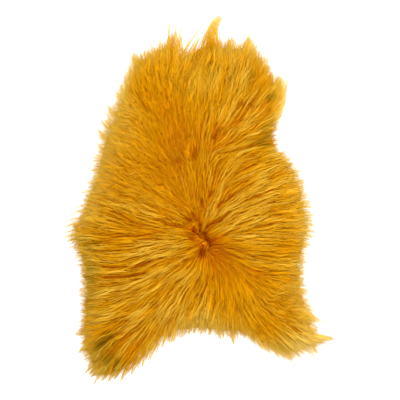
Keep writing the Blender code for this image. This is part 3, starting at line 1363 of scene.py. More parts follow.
@dataclass
class LongWool:
    """The long wool: strands of a few fibres each, which draw together into pointed locks.

    Each pair named lean holds the lean of smooth wool, then what fuzz or the whorl adds to it.
    overhang holds the shape and the scale of the chance of reaching past the edge.
    """

    pelt: Pelt
    lie: WoolLie
    combing: Combing
    partings: Partings
    dye_and_light: DyeAndLight
    finish: WoolFinish = WoolFinish("long_wool_dye_and_shade")
    seed: int = 5
    spacing: float = 0.0099
    lock_spacing: float = 0.0205
    inset: float = 0.012
    rim: float = 0.004
    rim_run: float = 0.030
    front: float = 0.150
    rear: float = -0.185
    divide: float = -0.020
    each: int = 3
    rings: int = 8
    walk_steps: int = 24
    least_steps: int = 4
    length: Pair = (0.066, 0.112)
    length_share: Pair = (0.80, 1.0)
    calm_gain: float = 0.25
    fuzz_loss: float = 0.42
    overhang: Pair = (2.0, 0.0045)
    overhang_least: float = 0.007
    half_spread: Pair = (0.0006, 0.0013)
    half_width: Pair = (0.0005, 0.0009)
    strand_lean: Pair = (0.016, 0.22)
    lock_lean: Pair = (0.050, 0.20)
    whorl_lean: float = 0.12
    lock_curl: float = 0.70
    fibre_lean: Pair = (0.012, 0.06)
    ripple: float = 0.0004
    ripple_length: float = 0.030
    swing: float = 0.0018
    swing_length: Pair = (0.038, 0.066)
    draw: Pair = (0.10, 0.85)
    narrowing: Pair = (0.35, 0.85)
    gather: float = 0.0007
    gather_reach: float = 0.003
    lock_radius: float = 0.0098
    band_height: float = 0.0014
    line_height: float = 0.0007
    rank_height: float = 0.0066
    dome_height: float = 0.0018
    strand_height: float = 0.0006
    unevenness: float = 0.0004
    parting_drop: float = 0.005
    least_height: float = 0.0006
    relief_painted_shade: float = 38.0
    shade: float = 0.025
    lock_shade: float = 0.030
    fibre_shade: float = 0.022
    fibre_tone: float = 0.02
    whorl_strands: int = 130
    whorl_scatter: float = 0.008
    whorl_reach: float = 0.050

    def roots(self, rng: np.random.Generator) -> Array:
        """Scatter the strands' roots, and set more along the whorl's parting.

        Args:
            rng: The source of chance.

        Returns:
            The roots' places.
        """
        places = scattered(*self.pelt.box(), self.spacing, rng)
        ahead = places + self.rim_run * self.lie.at(places)
        beside_rim = np.minimum(self.pelt.depth.at(places), self.pelt.depth.at(ahead)) > self.rim
        places = places[(self.pelt.depth.at(places) > self.inset) | beside_rim]
        stops = np.array(WHORL_PARTING) * MM
        share = np.sort(rng.uniform(0.0, len(stops) - 1.0, self.whorl_strands))
        centre = np.column_stack(
            [np.interp(share, np.arange(len(stops)), stops[:, axis]) for axis in (0, 1)]
        )
        centre += rng.normal(0.0, self.whorl_scatter, centre.shape)
        return np.concatenate((places, centre))

    def grow(self, shading: Shading) -> list[bpy.types.Object]:
        """Grow every strand, and gather them by part of the pelt.

        Args:
            shading: Where their material comes from.

        Returns:
            One object for each part.
        """
        rng = np.random.default_rng(self.seed)
        strands = self._strands(rng, self.roots(rng))
        fibres = self._fibres(strands)
        material = shading.wool(self.finish)
        return [
            fibres.chosen(np.repeat(flags, self.each)).build("long_wool_" + region.value, material)
            for region, flags in self._regions(strands.roots).items()
        ]

    def _regions(self, roots: Array) -> dict[Region, Array]:
        """Say which roots are in which part.

        Args:
            roots: The roots' places.

        Returns:
            For each part, a flag for each root.
        """
        across, along = roots.T
        front = along > self.front
        rear = along < self.rear
        left = across < self.divide
        return {
            Region.NECK: front,
            Region.LEFT: ~front & ~rear & left,
            Region.RIGHT: ~front & ~rear & ~left,
            Region.RUMP: rear,
        }

    def _strands(self, rng: np.random.Generator, roots: Array) -> Strands:
        """Share the strands out among locks, each strand to the nearest.

        Args:
            rng: The source of chance.
            roots: The strands' roots.

        Returns:
            The strands.
        """
        centres = scattered(*self.pelt.box(), self.lock_spacing, rng)
        gaps = np.linalg.norm(roots[:, None, :] - centres[None, :, :], axis=-1)
        lock = gaps.argmin(axis=1)
        offset = roots - centres[lock]
        along = self.lie.at(centres)[lock]
        return Strands(
            roots,
            self.each,
            locks=len(centres),
            lock=lock,
            beside=offset[:, 1] * along[:, 0] - offset[:, 0] * along[:, 1],
            ahead=(offset * along).sum(axis=1),
            fuzz=np.clip(spread(roots, FUZZY_PATCHES), 0.0, 1.0),
            calm=np.clip(spread(roots, CALM_PATCHES), -0.6, 0.9),
            wild=np.exp(-(self.lie.from_whorl(roots) ** 2).sum(axis=-1) / self.whorl_reach ** 2),
            rng=rng,
        )

    def _course(self, strands: Strands) -> Course:
        """Follow the lie of the wool from each root, about to where the wool's edge is.

        Args:
            strands: The strands.

        Returns:
            The way that each fibre's strand runs.
        """
        length = strands.drawn(*self.length) * strands.rng.uniform(*self.length_share, strands.count)
        length = length * (1.0 + self.calm_gain * np.maximum(strands.calm, 0.0))
        length = length - 0.8 * strands.ahead * (1.0 - strands.fuzz)
        length = length * (1.0 - self.fuzz_loss * strands.fuzz)
        walks = self.lie.follow(strands.roots, length, self.walk_steps)
        short = spread(walks[:, -1], THIN_EDGES) * MM
        overhang = strands.rng.gamma(*self.overhang, strands.count) - self.overhang_least - 0.5 * short
        beyond = self.pelt.depth.at(walks) < -overhang[:, None]
        cut = np.where(beyond.any(axis=1), beyond.argmax(axis=1), self.walk_steps)
        grown = strands.shared(np.maximum(cut, self.least_steps) / self.walk_steps)
        slots = np.linspace(-1.0, 1.0, self.each)
        slot = np.tile(slots, strands.count)[:, None] + strands.by_fibre(-0.2, 0.2)
        reach = grown * (1.0 - 0.08 * slot ** 2 - strands.by_fibre(0.0, 0.20))
        share = np.linspace(0.0, 1.0, self.rings)[None, :]
        spot = np.clip(reach * share * self.walk_steps, 0.0, self.walk_steps - 0.001)
        step = spot.astype(int)
        part = (spot - step)[..., None]
        strand = np.repeat(np.arange(strands.count), self.each)[:, None]
        middle = walks[strand, step] * (1.0 - part) + walks[strand, step + 1] * part
        return Course(
            middle,
            side=flanked(middle)[1],
            share=share,
            run=reach * strands.shared(length) * share,
            slot=slot,
            rough=strands.shared(strands.fuzz),
            crisp=strands.shared(1.0 - 0.75 * strands.calm),
        )

    def _lean(self, strands: Strands, course: Course) -> Array:
        """Work out how far the fibres lean away from the lie of the wool.

        Args:
            strands: The strands.
            course: The way that the fibres run.

        Returns:
            Metres to the left at each place.
        """
        run = course.run
        normal = strands.rng.normal
        lean = strands.shared(normal(0.0, 1.0, strands.count))
        lean = lean * (self.strand_lean[0] + self.strand_lean[1] * course.rough) * run
        turn = strands.swung(1.0) * (self.lock_lean[0] + self.lock_lean[1] * strands.wild)
        lean = lean + strands.shared(turn) * run
        stray = normal(0.0, self.whorl_lean, strands.count) * strands.wild
        lean = lean + strands.shared(stray) * run
        lean = lean + strands.shared(strands.swung(self.lock_curl)) * run ** 2
        own = strands.normal(1.0) * (self.fibre_lean[0] + self.fibre_lean[1] * course.rough)
        return lean + own * run

    def _sway(self, strands: Strands, course: Course) -> Array:
        """Work out how the fibres wave: each strand finely, and each lock in long swings.

        Args:
            strands: The strands.
            course: The way that the fibres run.

        Returns:
            Metres to the left at each place.
        """
        run = course.run
        sway = strands.by_strand(0.0, self.ripple) * np.sin(
            TURN * run / self.ripple_length + strands.by_strand(*PHASES)
        )
        sway = sway + strands.by_lock(0.0, self.swing) * np.sin(
            TURN * run / strands.by_lock(*self.swing_length) + strands.by_lock(*PHASES)
        )
        return sway * ease(course.share, 0.0, 0.3)

    def _gathered(self, flat: Array, side: Array) -> Array:
        """Work out how far the strands are drawn sideways towards the nearest band.

        Args:
            flat: Places along the strands.
            side: The way to the strands' left at each place.

        Returns:
            Metres to the left at each place.
        """
        reach = self.gather_reach * side
        pull = self.combing.bands.at(flat + reach) - self.combing.bands.at(flat - reach)
        return self.gather * np.clip(pull, -1.2, 1.2)

    def _own_places(self, strands: Strands, course: Course) -> Array:
        """Spread the fibres of each strand apart, then draw them together in bands.

        Args:
            strands: The strands.
            course: The way that the fibres run.

        Returns:
            Metres to the left of the strand's line at each place.
        """
        narrow = 1.0 - strands.by_strand(*self.narrowing) * course.share ** 1.8
        loose = strands.shared(1.0 + 1.3 * np.maximum(strands.calm, 0.0))
        own = strands.by_strand(*self.half_spread) * course.slot * narrow * loose
        gathered = self._gathered(course.middle, course.side)
        return own + gathered * ease(course.share, 0.0, 0.4) * (1.0 - course.rough)

    def _ridges(
        self, strands: Strands, course: Course, own: Array, beside: Array
    ) -> Ridges:
        """Work out how the wool is ridged along the fibres.

        Args:
            strands: The strands.
            course: The way that the fibres run.
            own: Metres to the left of the strand's line.
            beside: Metres to the left of the lock's middle.

        Returns:
            The ridges.
        """
        combed = course.middle + own[..., None] * course.side
        bands = self.combing.bands.at(combed)
        lines = self.combing.lines.at(combed)
        rough = course.rough
        rank = 0.70 * strands.by_lock(0.0, 1.0) + 0.30 * strands.by_strand(0.0, 1.0)
        dome = np.maximum(1.0 - (beside / self.lock_radius) ** 2, -1.0) * (1.0 - rough)
        relief = (self.band_height * bands + self.line_height * lines) * (1.0 - 0.8 * rough)
        relief = relief + self.rank_height * (rank - 0.6) * (1.0 - 0.3 * rough)
        relief = relief + self.dome_height * dome + self.strand_height * (1.0 - course.slot ** 2)
        relief = (relief + strands.by_fibre(-self.unevenness, self.unevenness)) * course.crisp
        return Ridges(bands, lines, dome, rank, relief)

    def _colours(
        self, strands: Strands, course: Course, ridges: Ridges, flat: Array, dip: Array
    ) -> tuple[Array, Array]:
        """Work out the fibres' colour along their length, with painted shade where they lie low or part.

        Args:
            strands: The strands.
            course: The way that the fibres run.
            ridges: How the wool is ridged.
            flat: The fibres' places.
            dip: How much the wool parts there.

        Returns:
            The place along the fibre, and the tone.
        """
        share, rough, crisp = course.share, course.rough, course.crisp
        place_shift, tone_shift = self.dye_and_light.shifts(flat)
        shade = strands.rng.normal(0.0, self.shade, strands.count) + strands.swung(self.lock_shade)
        shade = strands.shared(shade) + strands.normal(self.fibre_shade)
        # Deeper at the root and paler along the fibre; painted shade makes the lower-lying fibres deeper
        # in colour, and the random shades are the wool's own tone.
        places = 0.49 + 0.15 * share + self.relief_painted_shade * (ridges.relief + 0.0008) + shade * crisp
        # Painted shade: lighter on the combed ridges and on the middle of each lock, deeper in the
        # grooves.
        combed = (0.02 * ridges.bands + 0.04 * ridges.lines) * (1.0 - 0.6 * rough)
        places = places + (combed + 0.03 * ridges.dome) * crisp
        # Painted shade: deeper where the wool parts, and at the roots of the strands near the whorl.
        centre = strands.shared(strands.wild)
        places = np.maximum(places + place_shift, 0.40 - 0.24 * centre) - 0.30 * dip
        places = places - 0.12 * centre * (1.0 - ease(course.run, 0.0, 0.034))
        # Painted shade: olive tones fall mostly on the fibres that lie lowest.
        olive = np.minimum(tone_shift, 0.0) * np.clip(1.5 - 1.3 * ridges.rank, 0.0, 1.0)
        tones = 0.50 + strands.normal(self.fibre_tone) + np.maximum(tone_shift, 0.0) + olive
        return places, tones

    def _fibres(self, strands: Strands) -> Fibres:
        """Grow the fibres of each strand.

        Args:
            strands: The strands.

        Returns:
            All the fibres, strand by strand.
        """
        course = self._course(strands)
        share = course.share
        lean = self._lean(strands, course)
        sway = self._sway(strands, course)
        draw = strands.by_lock(*self.draw) * (1.0 - course.rough) * np.minimum(course.crisp, 1.0)
        inward = draw * ease(course.run, 0.010, 0.100)
        beside = strands.shared(strands.beside)
        own = self._own_places(strands, course)
        offset = own + sway + lean - beside * inward
        flat = course.middle + offset[..., None] * course.side
        ridges = self._ridges(strands, course, own, beside * (1.0 - inward))
        dip = self.partings.depth(flat)
        depth = self.pelt.depth.at(flat)
        rise = 0.80 + 0.14 * ease(share, 0.0, 0.16) + 0.03 * ease(share, 0.1, 0.8)
        rise = rise - 0.04 * ease(share, 0.85, 1.0)
        height = self.pelt.top.at(flat) * rise + ease(depth, -0.004, 0.035) * ridges.relief
        height -= self.parting_drop * dip
        thin = 0.50 + 0.50 * ease(depth, -0.005, 0.050)
        taper = (0.45 + 0.55 * ease(share, 0.0, 0.2)) * (1.0 - 0.85 * ease(share, 0.5, 1.15))
        widths = strands.by_fibre(*self.half_width) * taper * thin
        height = np.maximum(height, self.least_height + widths)
        places, tones = self._colours(strands, course, ridges, flat, dip)
        return Fibres(raised(flat, height), widths, places, tones)


@dataclass
class PartingShadowStrands:
    """Dark strands laid along the partings on top of the wool: a painted shadow that shows where the
    wool parts.
    """

    pelt: Pelt
    partings: Partings
    dye_and_light: DyeAndLight
    finish: WoolFinish = WoolFinish("parting_shadow_wool")
    seed: int = 51
    rings: int = 7
    overrun: Pair = (-0.15, 1.15)
    beside: float = 0.45
    wave: float = 0.0008
    level: float = 0.985
    lift: Pair = (-0.0010, 0.0030)
    half_width: Pair = (0.0006, 0.0011)
    place: float = 0.30
    shadow_darkening: float = 0.24
    shade: float = 0.04

    def grow(self, shading: Shading) -> bpy.types.Object:
        """Lay a few strands along each parting.

        Args:
            shading: Where their material comes from.

        Returns:
            The strands, joined.
        """
        rng = np.random.default_rng(self.seed)
        t = np.linspace(0.0, 1.0, self.rings)[None, :]
        lines, widths, places = [], [], []
        for row in self.partings.rows:
            count = 3 + round(8 * row[5])
            column = (count, 1)
            start, end = np.array(row[0:2]) * MM, np.array(row[2:4]) * MM
            run = end - start
            ends = np.sort(rng.uniform(*self.overrun, (count, 2)), axis=1)
            share = ends[:, :1] + (ends[:, 1:] - ends[:, :1]) * t
            side = unit(np.array((-run[1], run[0])))
            offset = rng.uniform(-self.beside, self.beside, column) * row[4] * MM
            offset = offset + self.wave * np.sin(5.0 * share + rng.uniform(*PHASES, column))
            flat = start + share[..., None] * run + offset[..., None] * side
            half = rng.uniform(*self.half_width, column) * np.sqrt(np.sin(math.pi * (0.06 + 0.88 * t)))
            height = self.pelt.top.at(flat) * self.level + rng.uniform(*self.lift, column) * row[5]
            lines.append(raised(flat, height))
            widths.append(half * (1.0 - 0.9 * ease(t, 0.7, 1.0)))
            # Painted shadow: the deeper the parting, the darker its strands.
            place = self.place - self.shadow_darkening * row[5] + rng.normal(0.0, self.shade, column)
            places.append(np.repeat(place, self.rings, axis=1))
        lines = np.concatenate(lines)
        tones = 0.5 + self.dye_and_light.shifts(lines)[1]
        fibres = Fibres(lines, np.concatenate(widths), np.concatenate(places), tones)
        return fibres.build("parting_shadow_strands", shading.wool(self.finish))


@dataclass
class EdgeFringe:
    """The fine wisps that end just past the pelt's edge, all the way round.

    point_jut and wisp_jut each hold the shape and the scale of a chance, and fibre_jut its ends.
    """

    pelt: Pelt
    lie: WoolLie
    dye_and_light: DyeAndLight
    finish: WoolFinish = WoolFinish("edge_wool_dye_and_light")
    seed: int = 21
    spacing: float = 0.0036
    point_spacing: float = 0.0115
    grain: float = 0.0020
    soften: float = 0.0075
    each: int = 10
    rings: int = 6
    length: Pair = (0.045, 0.080)
    point_jut: Pair = (1.6, 0.0055)
    wisp_jut: Pair = (1.2, 0.0022)
    fibre_jut: Pair = (-0.011, 0.004)
    pull: Pair = (0.15, 1.0)
    half_spread: Pair = (0.003, 0.006)
    drawing_in: Pair = (-0.10, 0.60)
    wave: float = 0.0016
    stray: float = 0.0026
    level: float = 0.86
    level_span: Pair = (-0.08, 0.10)
    tip_drop: float = 0.35
    least_height: float = 0.0006
    half_width: Pair = (0.00035, 0.00065)
    point_shade: float = 0.05
    fibre_shade: float = 0.07
    fibre_tone: float = 0.05

    def tips(self, rng: np.random.Generator) -> tuple[Array, Array, Array]:
        """Choose where the wisps end, and share them out among points.

        Args:
            rng: The source of chance.

        Returns:
            The tips' places, the way from each tip to the middle of its point, and its point's number.
        """
        outline = self._softened()
        marks = self._marks(outline)
        count = int(marks[-1] / self.spacing)
        spots = (np.arange(count) + rng.uniform(0.0, 0.9, count)) * self.spacing
        points = int(marks[-1] / self.point_spacing)
        ends = np.cumsum(rng.uniform(0.5, 1.5, points + 2)) * self.point_spacing
        index = np.searchsorted(ends, spots)
        middles = ends - 0.5 * np.diff(ends, prepend=0.0)
        tips, leads = (self._placed(outline, marks, along) for along in (spots, middles[index]))
        grown = spread(tips, BARE_EDGES) < 0.5
        return tips[grown], (leads - tips)[grown], index[grown]

    @staticmethod
    def _marks(outline: Array) -> Array:
        """Return how far along the closed outline each of its corners is, and its whole length."""
        gaps = np.linalg.norm(np.roll(outline, -1, axis=0) - outline, axis=1)
        return np.concatenate(([0.0], np.cumsum(gaps)))

    @staticmethod
    def _placed(outline: Array, marks: Array, along: Array) -> Array:
        """Return the places that are so far along the closed outline."""
        closed = np.concatenate((outline, outline[:1]))
        return np.column_stack([np.interp(along, marks, closed[:, axis]) for axis in (0, 1)])

    def _softened(self) -> Array:
        """Return the outline with its small teeth rounded off, in even steps."""
        marks = self._marks(self.pelt.outline)
        ring = self._placed(self.pelt.outline, marks, np.arange(0.0, marks[-1], self.grain))
        away = np.arange(len(ring))
        away = np.minimum(away, len(ring) - away) * self.grain
        share = np.exp(-0.5 * (away / self.soften) ** 2)
        share /= share.sum()
        waves = np.fft.rfft(ring, axis=0) * np.fft.rfft(share)[:, None]
        return np.fft.irfft(waves, len(ring), axis=0)

    def grow(self, shading: Shading) -> list[bpy.types.Object]:
        """Grow the wisps back from their tips.

        Args:
            shading: Where their material comes from.

        Returns:
            The wisps of the left and of the right edge, joined.
        """
        rng = np.random.default_rng(self.seed)
        tips, lead, point = self.tips(rng)
        wisps = len(tips)
        column = (wisps * self.each, 1)
        wisp = np.repeat(np.arange(wisps), self.each)
        length = rng.uniform(*self.length, wisps)
        back = self.lie.follow(tips, -length, self.rings - 1)[:, ::-1]
        t = np.linspace(0.0, 1.0, self.rings)[None, :]
        along, side = flanked(back)
        points = point.max() + 1
        central = 1.0 - np.minimum(np.linalg.norm(lead, axis=1) / (0.6 * self.point_spacing), 1.0)
        jut = rng.gamma(*self.point_jut, points)[point] * central
        jut = jut + rng.gamma(*self.wisp_jut, wisps)
        past = jut[wisp][:, None] + rng.uniform(*self.fibre_jut, column)
        pull = rng.uniform(*self.pull, points)[point][wisp][:, None]
        fan = rng.uniform(-1.0, 1.0, column)
        width, draw_in, phase = (
            rng.uniform(*span, wisps)[wisp][:, None]
            for span in (self.half_spread, self.drawing_in, PHASES)
        )
        offset = width * fan * (1.0 - draw_in * t ** 1.5)
        offset = offset + self.wave * t * np.sin(5.0 * t + phase)
        offset = offset + rng.normal(0.0, self.stray, column) * t ** 2
        middle = back[wisp] + lead[wisp][:, None, :] * (pull * t ** 1.5)[..., None]
        flat = middle + offset[..., None] * side[wisp] + (past * t ** 2)[..., None] * along[wisp]
        height = self.pelt.top.at(flat) * (self.level + rng.uniform(*self.level_span, column))
        widths = rng.uniform(*self.half_width, column) * (1.0 - 0.80 * t ** 1.4)
        height = height * (1.0 - self.tip_drop * ease(t, 0.7, 1.0))
        height = np.maximum(height, self.least_height + widths)
        place_shift, tone_shift = self.dye_and_light.shifts(flat)
        shade = rng.normal(0.0, self.point_shade, points)[point][wisp][:, None]
        shade = shade + rng.normal(0.0, self.fibre_shade, column)
        # Paler towards the tip; the shifts add the pale rim, partly painted light.
        places = 0.62 + 0.38 * t + shade + place_shift
        tones = 0.56 + 0.40 * t ** 2 + rng.normal(0.0, self.fibre_tone, column) + tone_shift
        fibres = Fibres(raised(flat, height), widths, places, tones)
        left = (tips[:, 0] < 0.0)[wisp]
        material = shading.wool(self.finish)
        return [
            fibres.chosen(flags).build("edge_fringe_" + name, material)
            for name, flags in (("left", left), ("right", ~left))
        ]


# The tufts that stand out from the edge: where each is rooted, the place that it bends towards and
# where it ends (each across and along, mm), its width at the root (mm) and its count of fibres.
TUFTS = (
    (6, 352, 10, 456, 56, 478, 11, 22), (20, 352, 14, 456, 59, 476, 12, 26),
    (34, 352, 17, 455, 61, 474, 12, 26), (48, 352, 20, 453, 63, 472, 12, 26),
    (60, 352, 22, 451, 65, 470, 11, 22), (4, 350, 6, 400, 12, 432, 14, 14),
    (64, 350, 54, 396, 52, 426, 16, 16), (22, 380, 16, 478, 58, 479, 4, 4),
    (-44, 372, -30, 410, 10, 455, 5, 5), (-40, 372, -24, 412, 6, 448, 5, 4),
    (-30, 372, -12, 414, 16, 462, 5, 5), (-20, 372, 2, 420, 18, 458, 6, 5),
    (-10, 372, 4, 410, 20, 440, 6, 5), (-46, 362, -38, 395, -22, 418, 12, 10),
    (-20, 355, -14, 395, 0, 422, 20, 14), (-82, 345, -86, 388, -80, 430, 18, 34),
    (-74, 350, -74, 398, -72, 440, 18, 36), (-62, 350, -64, 398, -60, 438, 18, 36),
    (-50, 352, -50, 394, -48, 430, 16, 28), (-80, 385, -81, 430, -78, 471, 9, 12),
    (-70, 395, -69, 428, -57, 454, 8, 9), (-56, 395, -53, 425, -48, 452, 7, 7),
    (-118, 370, -124, 400, -131, 424, 8, 4), (-166, 340, -174, 362, -174, 386, 9, 5),
    (-148, 345, -156, 364, -155, 385, 8, 4), (70, 380, 76, 402, 76, 424, 18, 9),
    (112, 380, 122, 404, 128, 426, 16, 9), (196, 285, 210, 302, 216, 322, 16, 8),
    (176, 140, 200, 140, 222, 144, 14, 6), (190, 108, 216, 114, 226, 116, 18, 7),
    (285, -360, 330, -362, 352, -367, 24, 14), (280, -345, 304, -338, 316, -328, 14, 8),
    (276, -352, 296, -345, 309, -338, 12, 6), (280, -372, 298, -392, 311, -409, 16, 8),
    (270, -380, 290, -402, 305, -419, 16, 8), (215, -390, 232, -410, 241, -427, 16, 9),
    (50, -345, 56, -364, 57, -379, 14, 7), (78, -350, 88, -368, 89, -383, 14, 7),
    (-76, -352, -80, -370, -81, -385, 12, 6), (-34, -340, -42, -352, -46, -363, 12, 5),
    (-104, -350, -112, -382, -116, -406, 18, 18), (-112, -356, -124, -396, -131, -426, 18, 22),
    (-124, -366, -136, -398, -142, -424, 18, 18), (-130, -376, -144, -416, -152, -445, 18, 22),
    (-144, -388, -158, -424, -165, -447, 18, 18), (-154, -398, -171, -438, -181, -467, 18, 22),
    (-168, -406, -184, -442, -194, -463, 18, 18), (-180, -412, -197, -452, -209, -482, 18, 22),
    (-196, -420, -212, -452, -223, -472, 18, 18), (-206, -424, -228, -460, -242, -481, 18, 20),
    (-226, -430, -246, -460, -260, -479, 18, 18), (-238, -430, -264, -466, -279, -487, 16, 18),
    (-300, -32, -322, -33, -345, -49, 7, 6), (-305, -50, -334, -49, -354, -64, 7, 6),
    (-305, -65, -336, -63, -359, -79, 7, 6), (-305, -80, -334, -79, -361, -94, 7, 6),
    (-305, -95, -334, -90, -358, -104, 7, 6), (-300, -108, -330, -101, -355, -116, 7, 6),
    (-298, -120, -322, -118, -346, -131, 7, 6), (-292, -15, -314, -17, -334, -32, 7, 6),
    (-222, 210, -236, 232, -243, 248, 10, 6), (-228, 196, -244, 214, -251, 230, 10, 6),
    (-236, 176, -252, 194, -259, 208, 10, 6), (-244, 156, -260, 174, -269, 186, 10, 6),
    (-252, 130, -272, 142, -281, 151, 10, 6), (-262, 84, -276, 86, -287, 89, 10, 6),
    (-268, -415, -290, -446, -305, -465, 14, 10), (-285, -370, -304, -388, -316, -403, 14, 7),
    (-290, -330, -312, -340, -329, -354, 14, 7),
)

# The bright locks that lie over the others, in the same order.
CRESTS = (
    (3, -90, 14, -58, 26, -2, 9, 14), (8, -84, 20, -54, 44, -10, 5, 6),
    (22, -104, 45, -84, 104, -58, 9, 10), (-10, -142, -30, -150, -72, -167, 10, 12),
    (-27, -64, -48, -50, -78, -42, 8, 7), (16, 156, 26, 205, 34, 268, 8, 10),
    (47, 90, 85, 108, 131, 138, 7, 7), (58, 30, 110, 50, 175, 83, 7, 7),
    (50, -50, 80, -20, 124, 0, 7, 7), (62, 168, 80, 205, 116, 252, 6, 7),
    (84, 276, 118, 300, 160, 318, 6, 6), (-60, -198, -78, -214, -108, -252, 8, 8),
    (-18, -196, -28, -222, -50, -258, 7, 7), (-84, -178, -120, -196, -170, -222, 7, 7),
    (-120, -140, -170, -150, -228, -148, 7, 7), (-150, -290, -176, -318, -212, -346, 7, 7),
    (-128, -320, -150, -352, -186, -396, 7, 7), (-34, -8, -40, 30, -52, 72, 6, 6),
)


@dataclass
class Tufts:
    """Tufts that are placed one by one: those that stand out from the edge, or the locks on top."""

    pelt: Pelt
    dye_and_light: DyeAndLight
    name: str
    rows: Rows
    rise: Pair
    lift: float = 0.0
    colour: float = 0.38
    finish: WoolFinish = WoolFinish("tuft_wool_dye_and_shade")
    seed: int = 31
    rings: int = 9
    stagger: float = 0.009
    gathering: float = 0.85
    wave: float = 0.001
    tip_drop: float = 0.25
    least_height: float = 0.0008
    half_width: Pair = (0.0004, 0.0008)
    shade: float = 0.06
    tone: float = 0.04

    def grow(self, shading: Shading) -> bpy.types.Object:
        """Grow every tuft as fibres that draw together at its tip.

        Args:
            shading: Where their material comes from.

        Returns:
            The tufts, joined.
        """
        rng = np.random.default_rng(self.seed)
        t = np.linspace(0.0, 1.0, self.rings)[None, :]
        lines, widths, tones = [], [], []
        for row in self.rows:
            root, bend, tip = (np.array(row[spot:spot + 2]) * MM for spot in (0, 2, 4))
            column = (row[7], 1)
            reach = 1.0 - self.stagger * row[6] * rng.uniform(0.0, 1.0, column) ** 1.5
            s = (t * reach)[..., None]
            middle = (1 - s) ** 2 * root + 2 * s * (1 - s) * bend + s ** 2 * tip
            side = flanked(middle)[1]
            fan = rng.uniform(-0.5, 0.5, column) * row[6] * MM
            offset = fan * (1.0 - self.gathering * s[..., 0] ** 0.9)
            offset = offset + self.wave * np.sin(6.0 * t + rng.uniform(*PHASES, column))
            flat = middle + offset[..., None] * side
            half = rng.uniform(*self.half_width, column) * (1.0 - 0.85 * t ** 1.3)
            height = self.pelt.top.at(flat) * rng.uniform(*self.rise, column)
            height = height + self.lift * ease(t, 0.0, 0.3)
            height = height * (1.0 - self.tip_drop * ease(t, 0.6, 1.0))
            height = np.maximum(height, self.least_height + half)
            lines.append(raised(flat, height))
            widths.append(half)
            tones.append(0.51 + 0.30 * t ** 2 + rng.normal(0.0, self.tone, column))
        lines = np.concatenate(lines)
        place_shift, tone_shift = self.dye_and_light.shifts(lines)
        places = self.colour + 0.36 * t + rng.normal(0.0, self.shade, (len(lines), 1))
        places = places + 0.6 * place_shift
        # Tone shifts below 0, olive and mostly painted shade, are taken in full; those above 0 at six
        # tenths.
        tones = np.concatenate(tones) + np.where(tone_shift < 0.0, 1.0, 0.6) * tone_shift
        fibres = Fibres(lines, np.concatenate(widths), places, tones)
        return fibres.build(self.name, shading.wool(self.finish))


@dataclass
class LooseFibres:
    """Single fibres that lie across the locks, a little off their direction."""

    pelt: Pelt
    lie: WoolLie
    dye_and_light: DyeAndLight
    finish: WoolFinish = WoolFinish("loose_wool_dye_and_shade")
    seed: int = 41
    count: int = 500
    tries: int = 4
    inset: float = 0.060
    rings: int = 7
    length: Pair = (0.040, 0.085)
    lean: float = 0.12
    curl: float = 1.5
    level: float = 0.98
    lift: Pair = (0.001, 0.005)
    half_width: Pair = (0.0003, 0.0006)
    tone: float = 0.03

    def grow(self, shading: Shading) -> bpy.types.Object:
        """Scatter the fibres over the pelt.

        Args:
            shading: Where their material comes from.

        Returns:
            The fibres, joined.
        """
        rng = np.random.default_rng(self.seed)
        places = rng.uniform(*self.pelt.box(), (self.tries * self.count, 2))
        roots = places[self.pelt.depth.at(places) > self.inset][: self.count]
        column = (len(roots), 1)
        length = rng.uniform(*self.length, len(roots))
        walks = self.lie.follow(roots, length, self.rings - 1)
        side = flanked(walks)[1]
        t = np.linspace(0.0, 1.0, self.rings)[None, :]
        run = t * length[:, None]
        lean = rng.normal(0.0, self.lean, column) * run
        lean = lean + rng.normal(0.0, self.curl, column) * run ** 2
        flat = walks + lean[..., None] * side
        lift = rng.uniform(*self.lift, column) * np.sin(math.pi * t ** 0.8)
        height = self.pelt.top.at(flat) * self.level + lift
        widths = rng.uniform(*self.half_width, column) * (1.0 - 0.8 * t ** 2)
        place_shift, tone_shift = self.dye_and_light.shifts(flat)
        places = 0.62 + 0.26 * t + place_shift
        tones = 0.50 + rng.normal(0.0, self.tone, column) + tone_shift
        fibres = Fibres(raised(flat, height), widths, places, tones)
        return fibres.build("loose_fibres", shading.wool(self.finish))


@dataclass(frozen=True)
class Panel:
    """A soft panel light: where it hangs, its size in metres and its power in watts.

    tilt is its turn about X and Y, in radians, from facing straight down.
    """

    name: str
    place: Triple
    size: Pair
    power: float
    tilt: Pair = (0.0, 0.0)

    def hang(self) -> None:
        """Add the light to the scene."""
        light = bpy.data.lights.new(self.name, "AREA")
        light.shape = "RECTANGLE"
        light.size, light.size_y = self.size
        light.energy = self.power
        thing = bpy.data.objects.new(self.name, light)
        thing.location = self.place
        thing.rotation_euler = (*self.tilt, 0.0)
        bpy.context.scene.collection.objects.link(thing)


